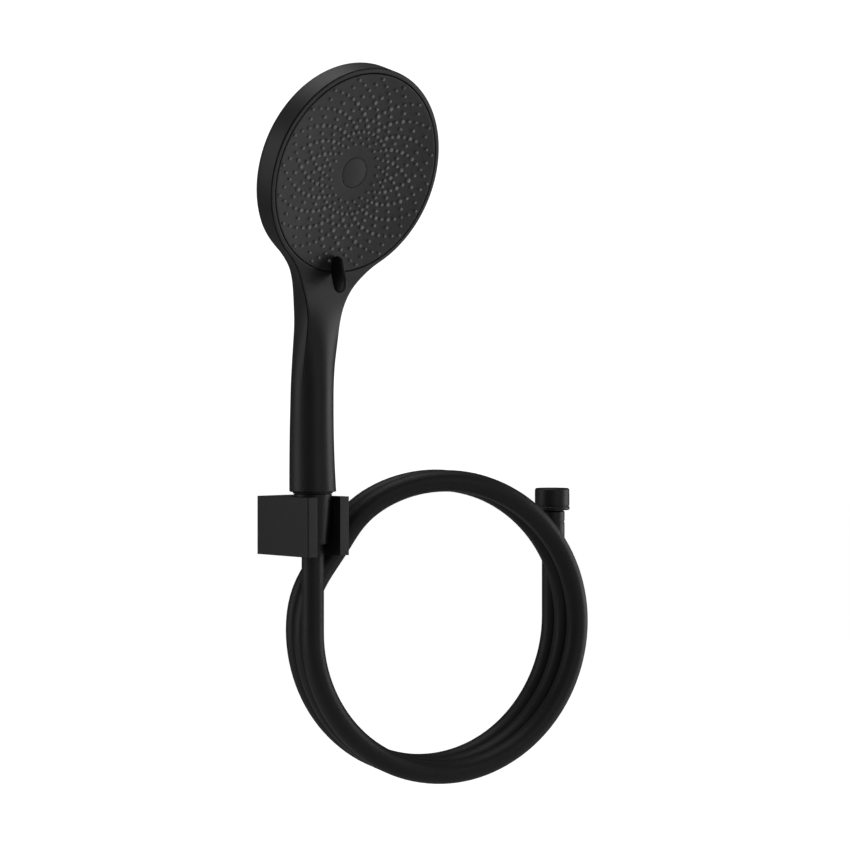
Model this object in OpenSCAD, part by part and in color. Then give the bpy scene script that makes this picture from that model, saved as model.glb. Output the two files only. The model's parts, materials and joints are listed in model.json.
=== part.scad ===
// Handheld shower: handset, fork wall holder and coiled hose.
// Row frame: millimetres, +Z up, the wall is the plane Y = 0 and the room lies towards -Y.
// The origin is the middle of the holder's back, on the wall.

/* [Head] */
// Diameter of the round head
head_d = 131; // [124:1:140]
// Height of the head's straight side wall
head_wall_h = 12.8; // [11:0.1:14]
// Depth of the head at its centre, front to back
head_depth = 29; // [27:0.1:34]
// Tilt of the spray face below straight ahead
face_tilt = 22.3; // [20:0.1:24]
// How far the face centre stands in front of the handle axis
face_out = 41.4; // [39:0.1:44]
// Height of the face centre above the foot of the handle
face_up = 193; // [186:0.1:210]
// Width of the ring around the turning spray disc
ring_w = 3.2; // [2.6:0.1:5]
// Wall thickness of both housing shells
shell_t = 2.4; // [1.8:0.1:2.8]

// Depth of the hollow of the spray face at its centre
face_dish = 4; // [1:0.1:4]

/* [Handle] */
// Diameter of the handle at its foot
foot_d = 29.2; // [28:0.1:33]
// Diameter across the grip at its narrowest
grip_d = 26.8; // [25.6:0.1:30]
// Radius of the hollow sweep from handle to head
neck_sweep_r = 58; // [48:1:66]
// Length of the curved neck below the head
neck_len = 28; // [24:1:34]
// Depth of the neck, front to back
neck_depth = 24.2; // [24:0.1:28]

/* [Spray disc] */
// Thickness of the spray plate
plate_t = 2.2; // [2:0.1:2.4]
// Thickness of the silicone mat behind the plate
mat_t = 1.2; // [1:0.1:1.4]
// Thickness of the distributor disc behind the mat
distributor_t = 2.4; // [2.3:0.1:2.6]
// Radius of the innermost nozzle ring
nozzle_ring_r = 18.4; // [17.5:0.1:19]
// Distance between nozzle rings
nozzle_ring_step = 3.7; // [3.4:0.01:3.72]
// Number of nozzles in a sparse ring
nozzle_count = 20; // [16:1:24]
// Height of the nozzle tips above the plate
nozzle_stand = 0.9; // [0.5:0.1:1.5]
// Diameter of the centre cap
cap_d = 18.6; // [16:0.1:20]

/* [Mode lever] */
// Radius from the disc centre at which the lever begins
lever_start_r = 52; // [51.5:0.5:53]
// Length of the lever's oval blade
lever_len = 23.2; // [18:0.1:28]
// Width of the blade
lever_w = 11.4; // [9:0.1:13]
// Thickness of the blade
lever_t = 2.8; // [2.8:0.1:4]
// Angle of the blade above the face
lever_lean = 38; // [30:1:50]
// Turn of the lever from the middle position to either end
lever_turn = 25; // [15:1:30]

/* [Wall holder] */
// Width of the holder
holder_w = 34.2; // [32:0.1:40]
// Height of the holder
holder_h = 36.5; // [34:0.5:40]
// Depth of the holder from the wall
holder_depth = 48.5; // [46:0.5:54]
// Distance from the wall to the cone axis
axis_out = 33.5; // [33.5:0.5:35]
// Width of the slot that the hose passes through
slot_w = 18.8; // [16:0.1:18.8]
// Distance between the wall screws
screw_spacing = 16; // [14:0.5:17]

/* [Hose] */
// Outside diameter of the hose
hose_d = 14; // [12:0.5:14]
// Radius of the coil at the middle of the hose
coil_r = 93.6; // [88:0.1:100]
// Distance from one turn of the coil to the next
coil_pitch = 14.05; // [14.05:0.01:14.1]
// Height of the coil's centre
coil_z = -67; // [-74:1:-64]
// Angle between the coil's axis and the wall's normal
coil_yaw = 20.75; // [20:0.05:24]
// Large diameter of the conical nut
cone_top_d = 24; // [23.6:0.1:25]
// Small diameter of the conical nut
cone_foot_d = 19; // [18.8:0.1:20]
// Diameter of the round nut at the far end
end_nut_d = 23.8; // [23:0.1:26]

/* [Hidden] */

$fn = 64;
eps = 0.01;
fit = 0.1;              // radial gap of a running or sliding fit
gap = 0.3;              // gap between pieces that move past each other
thread_r = 9.9;         // pitch radius of the half-inch pipe thread

head_r = head_d / 2;
dome_h = head_depth - head_wall_h;
disc_r = head_r - ring_w - gap;
grip_r = grip_d / 2;
foot_r = foot_d / 2;
foot_z = 21.2;          // foot of the handle in the row frame
cone_top_z = foot_z - 1;
cone_foot_z = -11.2;
crease_a = 67;          // section angle of the edge where the two shells meet
shade_dark = [0.05, 0.05, 0.055];
shade_shell = [0.09, 0.09, 0.1];
shade_nozzle = [0.45, 0.46, 0.47];
shade_steel = [0.6, 0.61, 0.62];
shade_brass = [0.72, 0.6, 0.32];
shade_rubber = [0.12, 0.12, 0.12];

// ---- Outer form of the handset ----
// A station is a height h on the front line above the foot. Each station's section lies in a plane
// that holds the X axis and leans by lean(h), and is given as [x, depth behind the front line].

ring_foot_h = face_up - (head_r + 1) * cos(face_tilt);
neck_h = ring_foot_h - neck_len;
waist_h = neck_h / 2;
waist_f = 12.8;         // front of the handle at its waist, ahead of the cone axis
neck_f = 12.6;          // front of the handle where the neck begins
fillet_x = grip_r + neck_sweep_r;
fillet_d = -sqrt(pow(head_r + neck_sweep_r, 2) - pow(fillet_x, 2));

function smooth(t) = let(c = min(1, max(0, t))) c * c * (3 - 2 * c);
function along_face(h) = (h - face_up) / cos(face_tilt);
function face_plane_f(h) = face_out + (h - face_up) * tan(face_tilt);
function handle_f(h) = h < waist_h
    ? waist_f + (foot_r - waist_f) * pow(1 - h / waist_h, 2)
    : waist_f + (neck_f - waist_f) * pow((h - waist_h) / (neck_h - waist_h), 2);
function hermite(p0, m0, p1, m1, t) =
    p0 * (2 * t * t * t - 3 * t * t + 1) + m0 * (t * t * t - 2 * t * t + t)
    + p1 * (3 * t * t - 2 * t * t * t) + m1 * (t * t * t - t * t);
function front_f(h) = h >= ring_foot_h ? face_plane_f(h)
    : h <= neck_h ? handle_f(h)
    : hermite(neck_f, neck_len * 2 * (neck_f - waist_f) / (neck_h - waist_h),
              face_plane_f(ring_foot_h), 1.2 * neck_len * tan(face_tilt), (h - neck_h) / neck_len);
function lean(h) = face_tilt * smooth((h - neck_h + 4) / (ring_foot_h - neck_h + 4));
function section_depth(h, e) = let(d = along_face(h)) d >= 0
    ? head_wall_h - e + (dome_h - e) * sqrt(max(0, 1 - pow(d / (head_r - e), 2)))
    : neck_depth + (head_depth - neck_depth) * smooth((d + 95) / 75) - 2 * e
      + (foot_d - neck_depth) * max(0, 1 - h / ring_foot_h);
function half_width(h, e) =
    let(d = along_face(h), d_touch = fillet_d * (head_r - e) / (head_r + neck_sweep_r)) d >= d_touch ? sqrt(max(0, pow(head_r - e, 2) - d * d))
    : d > fillet_d ? fillet_x - sqrt(pow(neck_sweep_r + e, 2) - pow(d - fillet_d, 2))
    : grip_r - e + (foot_r - grip_r) * pow(max(0, 1 - h / 66), 2);
function flatness(h) = smooth((h - waist_h - 8) / (neck_h + 21 - waist_h - 8));
function side_wall(h, e) = (head_wall_h - e) * smooth((along_face(h) + 80) / 40);

function round_section(a, w, depth) = [w * sin(a), depth / 2 * (1 - cos(a))];
function flat_section(a, w, depth, wall) = a <= crease_a ? [w * a / crease_a, 0]
    : let(t = (a - crease_a) / (180 - crease_a), share = 0.22 * wall / head_wall_h) t < share
    ? [w, wall * t / share]
    : let(q = 90 * (t - share) / (1 - share)) [w * cos(q), wall + (depth - wall) * sin(q)];
function section(a, h, e) =
    let(s = a > 180 || a < 0 ? -1 : 1, m = a > 180 ? 360 - a : abs(a), k = flatness(h),
        w = half_width(h, e), depth = section_depth(h, e),
        p = (1 - k) * round_section(m, w, depth) + k * flat_section(m, w, depth, side_wall(h, e)))
    [s * p.x, p.y + e];
function body_point(a, h, e) = let(p = section(a, h, e), q = lean(h))
    [p.x, -axis_out - front_f(h) + p.y * cos(q), foot_z + h + p.y * sin(q)];

handle_rows = 15;
head_rows = 19;
first_turn = 31;
last_turn = 178;
function station(i, e) = i < handle_rows
    ? i * (face_up - head_r * cos(first_turn - 2) * cos(face_tilt)) / (handle_rows - 1)
    : face_up - (head_r - e) * cos(face_tilt)
      * cos(first_turn + (last_turn - first_turn) * (i - handle_rows) / (head_rows - 1));

// Closed shell between the outer form and the form set in by the wall, from angle a0 to a1
module shell(a0, a1, columns, capped) {
    rows = handle_rows + head_rows;
    layer = rows * (columns + 1);
    points = [for (e = [0, shell_t], i = [0:rows - 1], j = [0:columns])
        body_point(a0 + (a1 - a0) * j / columns, station(i, e), e)];
    function out(i, j) = i * (columns + 1) + j;
    function inn(i, j) = layer + out(i, j);
    top = rows - 1;
    skin = [for (i = [0:rows - 2], j = [0:columns - 1]) each [
        [out(i, j), out(i + 1, j), out(i + 1, j + 1)], [out(i, j), out(i + 1, j + 1), out(i, j + 1)],
        [inn(i + 1, j + 1), inn(i + 1, j), inn(i, j)], [inn(i, j + 1), inn(i + 1, j + 1), inn(i, j)]]];
    foot = [for (j = [0:columns - 1]) each [
        [out(0, j), out(0, j + 1), inn(0, j + 1)], [out(0, j), inn(0, j + 1), inn(0, j)]]];
    edges = [for (i = [0:rows - 2]) each [
        [out(i + 1, 0), out(i, 0), inn(i, 0)], [out(i + 1, 0), inn(i, 0), inn(i + 1, 0)],
        [out(i, columns), out(i + 1, columns), inn(i + 1, columns)],
        [out(i, columns), inn(i + 1, columns), inn(i, columns)]]];
    lid = capped
        ? [[for (j = [columns:-1:0]) out(top, j)], [for (j = [0:columns]) inn(top, j)],
           [out(top, columns), out(top, 0), inn(top, 0), inn(top, columns)]]
        : [for (j = [0:columns - 1]) each [
           [out(top, j + 1), out(top, j), inn(top, j)], [out(top, j + 1), inn(top, j), inn(top, j + 1)]]];
    polyhedron(points = points, faces = concat(skin, foot, edges, lid), convexity = 6);
}

// ---- Places ----
// Spray face: local +Z points out of the face and local +Y up along it
module on_face() {
    translate([0, -axis_out - face_out, foot_z + face_up]) rotate([90 + face_tilt, 0, 0]) children();
}
module on_cone_axis() {
    translate([0, -axis_out, 0]) children();
}
coil_u = [sin(coil_yaw), cos(coil_yaw)];
coil_w = [cos(coil_yaw), -sin(coil_yaw)];
coil_turns = 2.5;
end_xy = [0, -axis_out] + 2 * coil_r * coil_w + coil_turns * coil_pitch * coil_u;
module on_end_axis() {
    translate([end_xy.x, end_xy.y, 0]) children();
}
module tube(r_out, r_in, z0, z1) {
    translate([0, 0, z0]) difference() {
        cylinder(r = r_out, h = z1 - z0);
        translate([0, 0, -1]) cylinder(r = r_in, h = z1 - z0 + 2);
    }
}
module ring_seal(major, minor) {
    rotate_extrude() translate([major, 0]) circle(r = minor, $fn = 24);
}

// ---- Wall holder ----
cone_slope = (cone_top_d - cone_foot_d) / 2 / (cone_top_z - cone_foot_z);
function cone_r(z) = cone_foot_d / 2 + cone_slope * (z - cone_foot_z);
pocket_depth = 14;
pocket_margin = 3.3;
plate_thick = 3;
tongue_top_z = -holder_h / 2 + 7.75;
tongue_foot_z = -holder_h / 2 + 5.25;
grub_y = -8;
grub_r = 2.45;
screw_hole_r = 2.25;
corner_r = 0.8;

module rounded_plan(w, d) {
    for (x = [-1, 1], y = [-1, 1]) translate([x * (w / 2 - corner_r), y * (d / 2 - corner_r)])
        circle(r = corner_r, $fn = 24);
    square([w - 2 * corner_r, d], center = true);
    square([w, d - 2 * corner_r], center = true);
}
module holder_body() {
    color(shade_shell) difference() {
        translate([0, -holder_depth / 2, -holder_h / 2]) linear_extrude(holder_h)
            rounded_plan(holder_w, holder_depth);
        on_cone_axis() translate([0, 0, -holder_h / 2 - 1]) cylinder(
            h = holder_h + 2, r1 = cone_r(-holder_h / 2 - 1) + gap, r2 = cone_r(holder_h / 2 + 1) + gap);
        translate([-slot_w / 2, -holder_depth - 1, -holder_h / 2 - 1])
            cube([slot_w, holder_depth - axis_out + 1, holder_h + 2]);
        translate([-holder_w / 2 + pocket_margin, -pocket_depth, -holder_h / 2 + pocket_margin])
            cube([holder_w - 2 * pocket_margin, pocket_depth + 1, holder_h - 2 * pocket_margin]);
        translate([0, grub_y, -holder_h / 2 - 1]) cylinder(r = grub_r + 0.05, h = pocket_margin + 2);
    }
}
module wall_plate() {
    plate_w = holder_w - 2 * pocket_margin - 2 * gap;
    plate_h = holder_h - 2 * pocket_margin - 2 * gap;
    color(shade_steel) difference() {
        union() {
            translate([-plate_w / 2, -plate_thick, -plate_h / 2]) cube([plate_w, plate_thick, plate_h]);
            translate([-5, -pocket_depth + 1, tongue_foot_z])
                cube([10, pocket_depth - 2, tongue_top_z - tongue_foot_z]);
        }
        for (x = [-1, 1]) translate([x * screw_spacing / 2, 1, 0]) rotate([90, 0, 0]) {
            cylinder(r = screw_hole_r, h = plate_thick + 2);
        }
    }
}
module grub_screw() {
    socket_r = 1.4;
    color(shade_steel) translate([0, grub_y, -holder_h / 2 + 0.2]) difference() {
        cylinder(r = grub_r, h = tongue_foot_z + holder_h / 2 - 0.3);
        translate([0, 0, -1]) cylinder(r = socket_r, h = 3, $fn = 6);
    }
}

// ---- Hose ----
hose_r = hose_d / 2;
hose_top_z = -6.2;
ferrule_foot_z = -22.7;
// Route of the straight stretches, from the cone to the coil and from the coil to the end
drop_points = [[0, -33.5, -6.2], [0, -33.5, -25], [0, -33.5, -45], [0, -33.5, -67]];
tail_heights = [-67, -52, -37, -22.7];
tail_points = [for (z = tail_heights) [end_xy.x, end_xy.y, z]];
hose_sides = 10;

function unit(v) = v / norm(v);
function route_dir(p, i) = unit(p[min(i + 1, len(p) - 1)] - p[max(i - 1, 0)]);
module swept_hose(p) {
    side = [for (i = [0:len(p) - 1]) unit(cross(route_dir(p, i), [0.36, 0.93, 0.1]))];
    points = [for (i = [0:len(p) - 1], j = [0:hose_sides - 1])
        let(t = route_dir(p, i), a = 360 * j / hose_sides) p[i] + hose_r * (side[i] * cos(a) + cross(t, side[i]) * sin(a))];
    function at(i, j) = i * hose_sides + (j % hose_sides);
    polyhedron(points = points, faces = concat(
        [for (i = [0:len(p) - 2], j = [0:hose_sides - 1]) each [
            [at(i, j), at(i + 1, j), at(i + 1, j + 1)], [at(i, j), at(i + 1, j + 1), at(i, j + 1)]]],
        [[for (j = [0:hose_sides - 1]) at(0, j)]],
        [[for (j = [hose_sides - 1:-1:0]) at(len(p) - 1, j)]]));
}
module hose_drop() {
    color(shade_dark) swept_hose(drop_points);
}
module hose_tail() {
    color(shade_dark) swept_hose(tail_points);
}
// Ring segment of the coil: from turn angle a0 over sweep degrees, between u0 and u1 along its axis.
// Angle 0 is the side of the coil away from the holder, and angles grow upwards from there.
module coil_segment(a0, sweep, u0, u1, inset) {
    rotate([0, 0, a0]) rotate_extrude(angle = sweep) translate([coil_r - hose_r + inset, u0])
        square([hose_d - 2 * inset, u1 - u0]);
}
module hose_coil() {
    half = coil_pitch / 2;
    back = coil_turns * coil_pitch + hose_r;
    color(shade_dark) difference() {
        translate([coil_r * coil_w.x, -axis_out + coil_r * coil_w.y, coil_z])
            rotate([0, 0, -coil_yaw]) rotate([-90, 0, 0]) mirror([0, 1, 0]) {
            coil_segment(180, 270, -hose_r, half, 0);
            coil_segment(210, 230, half - 2, half + 2, 1);
            coil_segment(0, 360, half + gap, 2 * coil_pitch, 0);
            coil_segment(90, 135, 2 * coil_pitch - 2 * eps, 2 * coil_pitch + hose_r, 0);
            coil_segment(225, 135, 2 * coil_pitch - 2 * eps, back, 0);
        }
        translate([-holder_w / 2 - 20, -holder_depth - 5, -holder_h / 2 - 1.5])
            cube([holder_w + 21.5, holder_depth + 10, 80]);
    }
}
nut_foot_z = 4.8;
nut_top_z = 19.7;
nut_seat_z = 7.7;
nut_thread_z = 11.3;
nipple_stem_r = 4.9;
nipple_bore_r = 3.5;
neck_r = 6.8;
ferrule_r = 8.5;
flange_r = 9.6;
module end_ferrule() {
    color(shade_shell) on_end_axis() tube(ferrule_r, nipple_stem_r + 0.05, ferrule_foot_z, nut_foot_z - gap);
}
module end_nipple() {
    color(shade_brass) on_end_axis() difference() {
        union() {
            translate([0, 0, ferrule_foot_z]) cylinder(r = nipple_stem_r, h = nut_foot_z - ferrule_foot_z);
            translate([0, 0, nut_foot_z - gap + 0.05])
                cylinder(r = neck_r, h = nut_seat_z - nut_foot_z + 0.4);
            translate([0, 0, nut_seat_z + 0.1]) cylinder(r = flange_r, h = 1.5);
        }
        translate([0, 0, ferrule_foot_z - 1]) cylinder(r = nipple_bore_r, h = 60);
    }
}
module end_washer() {
    color(shade_rubber) on_end_axis() tube(flange_r - 0.1, 5.5, nut_seat_z + 1.65, nut_seat_z + 3.6);
}
module end_nut() {
    r = end_nut_d / 2;
    color(shade_shell) on_end_axis() difference() {
        rotate_extrude() polygon([[0, nut_foot_z], [r - 1, nut_foot_z], [r, nut_foot_z + 0.8],
            [r, nut_foot_z + 2], [r - 0.3, nut_foot_z + 2.4], [r - 0.3, nut_top_z - 0.6],
            [r - 0.9, nut_top_z], [0, nut_top_z]]);
        translate([0, 0, nut_seat_z + 1]) cylinder(r = thread_r, h = nut_top_z);
        translate([0, 0, nut_seat_z]) cylinder(r = thread_r + 0.3, h = nut_thread_z - nut_seat_z);
        translate([0, 0, nut_foot_z - 1]) cylinder(r = neck_r + gap, h = nut_seat_z);
    }
}

// ---- Conical nut and what it holds ----
cone_seat_z = 8.2;
stub_foot_z = 12.5;
module cone_ferrule() {
    color(shade_steel) on_cone_axis() tube(8.1, nipple_stem_r + 0.05, -6, cone_seat_z - 0.1);
}
module cone_nipple() {
    color(shade_brass) on_cone_axis() difference() {
        union() {
            translate([0, 0, -6]) cylinder(r = nipple_stem_r, h = 15);
            translate([0, 0, cone_seat_z + 0.1]) cylinder(r = flange_r, h = 1.8);
        }
        translate([0, 0, -7]) cylinder(r = nipple_bore_r, h = 40);
    }
}
module cone_nut() {
    rim_h = 3;
    color(shade_shell) on_cone_axis() difference() {
        rotate_extrude() polygon([[0, cone_foot_z], [cone_foot_d / 2 - 0.6, cone_foot_z],
            [cone_foot_d / 2, cone_foot_z + 0.6], [cone_r(cone_top_z - 0.6), cone_top_z - 0.6],
            [cone_r(cone_top_z) - 0.6, cone_top_z], [0, cone_top_z]]);
        translate([0, 0, cone_seat_z]) cylinder(r = thread_r, h = 20);
        translate([0, 0, -6]) cylinder(r = 8.2, h = 20);
        translate([0, 0, cone_foot_z - 1]) cylinder(r = hose_r + 0.4, h = 10);
    }
}
module strainer_washer() {
    color(shade_rubber) on_cone_axis() tube(flange_r - 0.1, 5.5, cone_seat_z + 2, stub_foot_z - 0.1);
}

// ---- Inlet in the foot of the handle ----
stub_r = thread_r - 0.06;
stub_bore_r = 7.6;
stub_head_z = foot_z + 26;
tube_r = 4.2;
tube_bore_r = 3.1;
tube_foot_z = foot_z + 17;
module inlet_stub() {
    color(shade_brass) on_cone_axis() difference() {
        union() {
            translate([0, 0, stub_foot_z]) cylinder(r = stub_r, h = foot_z - stub_foot_z + eps);
            translate([0, 0, foot_z]) cylinder(r = foot_r - shell_t - 0.7, h = 3.5);
            translate([0, 0, foot_z]) cylinder(r = 10, h = stub_head_z - foot_z);
        }
        translate([0, 0, stub_foot_z - 1]) cylinder(r = stub_bore_r, h = tube_foot_z - stub_foot_z);
        translate([0, 0, stub_foot_z]) cylinder(r = tube_r + 0.05, h = 60);
        translate([0, 0, tube_foot_z + 4]) cylinder(r = tube_r + 1.1, h = 2.2);
    }
}
module stub_seal() {
    color(shade_rubber) on_cone_axis() translate([0, 0, foot_z - 0.5])
        tube(foot_r - 2.2, stub_r + 0.06, -0.45, 0.45);
}
module flow_limiter() {
    color(shade_nozzle) on_cone_axis() difference() {
        translate([0, 0, stub_foot_z + 0.3]) cylinder(r = stub_bore_r - 0.05, h = 2.5);
        for (i = [0:7]) rotate([0, 0, 45 * i]) translate([5, 0, stub_foot_z])
            cylinder(r = 0.9, h = 4, $fn = 24);
    }
}
valve_foot_z = stub_foot_z + 3.2;
valve_seat_z = valve_foot_z + 6;
valve_top_z = valve_foot_z + 18;
valve_web_t = 1.5;
module check_valve_body() {
    color(shade_nozzle) on_cone_axis() difference() {
        translate([0, 0, valve_foot_z]) cylinder(r = stub_bore_r - 0.05, h = valve_top_z - valve_foot_z);
        translate([0, 0, valve_foot_z - 1]) cylinder(r = 3.6, h = 12);
        translate([0, 0, valve_seat_z]) cylinder(r = 5.8, h = valve_top_z - valve_seat_z - valve_web_t);
        translate([0, 0, valve_seat_z]) cylinder(r = 1.75, h = 20);
        for (i = [0:5]) rotate([0, 0, 60 * i]) translate([4.4, 0, valve_seat_z + 1])
            cylinder(r = 1.2, h = 20, $fn = 24);
    }
}
poppet_r = 5;
module check_valve_poppet() {
    color(shade_rubber) on_cone_axis() {
        translate([0, 0, valve_seat_z + 0.1]) cylinder(r = poppet_r, h = 1.6);
        translate([0, 0, valve_seat_z + 1.6]) cylinder(r = 1.6, h = 3.4);
    }
}
module check_valve_spring() {
    color(shade_steel) on_cone_axis() tube(3.2, 2.4, valve_seat_z + 1.8, valve_top_z - valve_web_t - 0.1);
}

// ---- Water way through handle and neck ----
// The tube runs up the handle, turns at an elbow and runs along the face into the chamber's inlet.
inlet_depth = 15.5;     // depth of the inlet's axis behind the spray face
elbow_r = 5;
elbow_y = -(face_out - inlet_depth * cos(face_tilt)) / sin(face_tilt);
elbow_z = foot_z + face_up + elbow_y * cos(face_tilt) + inlet_depth * sin(face_tilt);
inlet_end_y = -46;
module tube_path(r, past) {
    on_cone_axis() translate([0, 0, tube_foot_z - past])
        cylinder(r = r, h = elbow_z - tube_foot_z + 2 * past);
    on_face() translate([0, inlet_end_y + past, -inlet_depth]) rotate([90, 0, 0])
        cylinder(r = r, h = inlet_end_y - elbow_y + 2 * past);
}
module water_tube() {
    color(shade_nozzle) difference() {
        union() {
            tube_path(tube_r, 0);
            translate([0, -axis_out, elbow_z]) sphere(r = elbow_r);
        }
        tube_path(tube_bore_r, 1);
    }
}
module tube_seals() {
    color(shade_rubber) {
        on_cone_axis() translate([0, 0, tube_foot_z + 5.1]) ring_seal(tube_r + 0.6, 0.5);
        on_face() translate([0, inlet_end_y - 6, -inlet_depth]) rotate([90, 0, 0])
            ring_seal(tube_r + 0.6, 0.5);
    }
}

// ---- Head: both shells and the fixed water chamber ----
module rear_shell() {
    color(shade_shell) shell(crease_a, 360 - crease_a, 20, true);
}
face_sides = 120;
module front_cover() {
    color(shade_shell) difference() {
        shell(-crease_a, crease_a, 10, false);
        on_face() translate([0, 0, -shell_t - 5]) linear_extrude(shell_t + 10)
            polygon([for (i = [0:face_sides - 1]) let(a = 360 * (i + 0.5) / face_sides)
                (disc_r + gap) * [cos(a), sin(a)]]);
    }
}

dish_z = -face_dish;
mat_z = dish_z - plate_t - 0.05 - mat_t;
distributor_z = mat_z - 0.05 - distributor_t;
chamber_z = distributor_z - 0.25;
chamber_r = head_r - 9.5;
chamber_wall = 3;
chamber_floor_z = chamber_z - 3.5;
seal_r = 0.75;
seal_z = distributor_z - fit - seal_r;
seal_floor_z = seal_z - seal_r - fit / 2;
chamber_back_z = chamber_floor_z - 1.5;
rim_r = head_r - shell_t - 1.3;
hub_r = 5;
hub_boss_r = 8.5;
plunger_r = 1.45;
plunger_y = 30;
groove_w = 2 * plunger_r + 0.4;
inlet_r = tube_r + 1.6;
inlet_foot_y = -57.5;
module water_chamber() {
    color(shade_nozzle) on_face() difference() {
        union() {
            difference() {
                translate([0, 0, chamber_back_z]) cylinder(r = chamber_r, h = chamber_z - chamber_back_z);
                translate([0, 0, chamber_floor_z])
                    cylinder(r = chamber_r - chamber_wall, h = chamber_z - chamber_floor_z + 1);
            }
            difference() {
                translate([0, 0, chamber_back_z + 1]) cylinder(r = rim_r, h = 2);
                translate([0, 0, chamber_back_z]) cylinder(r = chamber_r - 1, h = 4);
                translate([-40, -head_r - 40, chamber_back_z]) cube([80, 45, 4]);
            }
            translate([0, 0, chamber_back_z]) cylinder(r = hub_boss_r, h = chamber_z - chamber_back_z);
            translate([0, 0, chamber_floor_z - eps])
                cylinder(r = hub_r, h = dish_z - plate_t - 0.1 - chamber_floor_z);
            translate([0, plunger_y, chamber_floor_z - eps])
                cylinder(r = plunger_r + 1.8, h = chamber_z - chamber_floor_z);
            translate([0, -20, -inlet_depth]) rotate([90, 0, 0])
                cylinder(r = inlet_r, h = -20 - inlet_foot_y);
        }
        translate([0, 0, chamber_back_z + 0.8]) cylinder(r = 2.05, h = 30);
        translate([0, plunger_y, chamber_back_z + 0.6]) cylinder(r = plunger_r + 0.06, h = 20);
        translate([0, -24, -inlet_depth]) rotate([90, 0, 0]) cylinder(r = tube_bore_r, h = 45);
        translate([0, inlet_end_y + 0.1, -inlet_depth]) rotate([90, 0, 0])
            cylinder(r = tube_r + 0.05, h = 45);
        translate([0, inlet_end_y - 4.9, -inlet_depth]) rotate([90, 0, 0])
            cylinder(r = tube_r + 1.1, h = 2.2);
        translate([0, -32, -inlet_depth]) cylinder(r = tube_bore_r - 0.2, h = inlet_depth + chamber_z);
        translate([-20, -head_r - 30, chamber_z]) cube([40, 31 + head_r - chamber_r + chamber_wall, 30]);
        translate([0, 0, chamber_floor_z]) difference() {
            cylinder(r = chamber_r - chamber_wall, h = chamber_z - chamber_floor_z + 1);
            translate([0, 0, -1]) cylinder(r = hub_boss_r, h = 20);
            translate([0, plunger_y, -1]) cylinder(r = plunger_r + 1.8, h = 20);
        }
        translate([0, 0, seal_floor_z]) difference() {
            cylinder(r = chamber_r - 0.7, h = 3);
            translate([0, 0, -1]) cylinder(r = chamber_r - 2.3, h = 5);
        }
        translate([0, 0, seal_floor_z]) difference() {
            cylinder(r = hub_r + 2.7, h = chamber_z - seal_floor_z + eps);
            translate([0, 0, -1]) cylinder(r = hub_r + 0.9, h = 4);
        }
    }
}
module chamber_seal() {
    color(shade_rubber) on_face() translate([0, 0, seal_z]) ring_seal(chamber_r - 1.5, seal_r);
}
module hub_seal() {
    color(shade_rubber) on_face() translate([0, 0, seal_z]) ring_seal(hub_r + 1.8, seal_r);
}
plunger_len = 4.4;
plunger_foot_z = chamber_z - 2.6;
module detent_plunger() {
    color(shade_steel) on_face() translate([0, plunger_y, plunger_foot_z]) {
        cylinder(r = plunger_r, h = plunger_len - 1);
        translate([0, 0, plunger_len - 1 - eps]) cylinder(r1 = plunger_r, r2 = 0.6, h = 1);
    }
}
module detent_spring() {
    color(shade_steel) on_face() translate([0, plunger_y, 0])
        tube(1.3, 0.9, chamber_back_z + 0.7, plunger_foot_z - 0.05);
}

// ---- Turning spray disc ----
// The spray face is a shallow dish, level with the ring at its edge.
// Nozzle rings: sparse rings hold nozzle_count tips, every other ring from the third twice as many.
ring_count = 12;
function face_z(r) = dish_z * (1 - pow(r / disc_r, 2));
function ring_r(k) = nozzle_ring_r + nozzle_ring_step * k;
function ring_is_full(k) = k > 1 && k % 2 == 0;
function ring_tips(k) = ring_is_full(k) ? 2 * nozzle_count : nozzle_count;
function ring_shift(k) = ring_is_full(k) ? 0.25 : (k == 1 || k % 4 == 1) ? 0.5 : 0;
function tip_r(k) = k < 2 || k > 8 ? 0.75 : ring_is_full(k) ? 0.9 : 1.15;
module nozzle_ring(k, grow) {
    for (i = [0:ring_tips(k) - 1]) {
        a = 90 + 360 * (i / ring_tips(k) + ring_shift(k) / nozzle_count);
        p = ring_r(k) * [cos(a), sin(a)];
        under_lever = abs(p.x) < lever_t / 2 + 2.4 && p.y < -lever_start_r + 2;
        if (!under_lever) translate(p) circle(r = tip_r(k) + grow, $fn = 20);
    }
}
hole_gap = 0.12;
recess_t = 1.1;
peg_r = 1.3;
peg_foot_z = -2.6;
peg_spread = 4.5;
dish_steps = 12;
module spray_plate() {
    hole_r = 6.6;
    back_z = dish_z - plate_t;
    color(shade_shell) on_face() difference() {
        rotate_extrude($fn = 96) polygon(concat([[hole_r, back_z], [disc_r, back_z]],
            [for (i = [dish_steps:-1:0])
                let(r = hole_r + (disc_r - hole_r) * i / dish_steps) [r, face_z(r)]]));
        translate([0, 0, back_z - 1]) linear_extrude(plate_t + face_dish + 3)
            for (k = [0:ring_count - 1]) nozzle_ring(k, hole_gap);
        translate([0, 0, dish_z - recess_t]) cylinder(r = cap_d / 2 + fit, h = 5);
        for (i = [0, 1]) translate([0, -lever_start_r - 2 - peg_spread * i, peg_foot_z - 0.1])
            cylinder(r = peg_r + 0.05, h = 5, $fn = 24);
    }
}
module nozzle_mat() {
    color(shade_nozzle) on_face() {
        translate([0, 0, mat_z]) linear_extrude(mat_t) difference() {
            circle(r = disc_r - 1.6, $fn = 96);
            circle(r = nozzle_ring_r - 3);
        }
        for (k = [0:ring_count - 1]) translate([0, 0, mat_z + mat_t - eps])
            linear_extrude(face_z(ring_r(k)) + nozzle_stand - mat_z - mat_t + eps) nozzle_ring(k, 0);
    }
}
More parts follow.
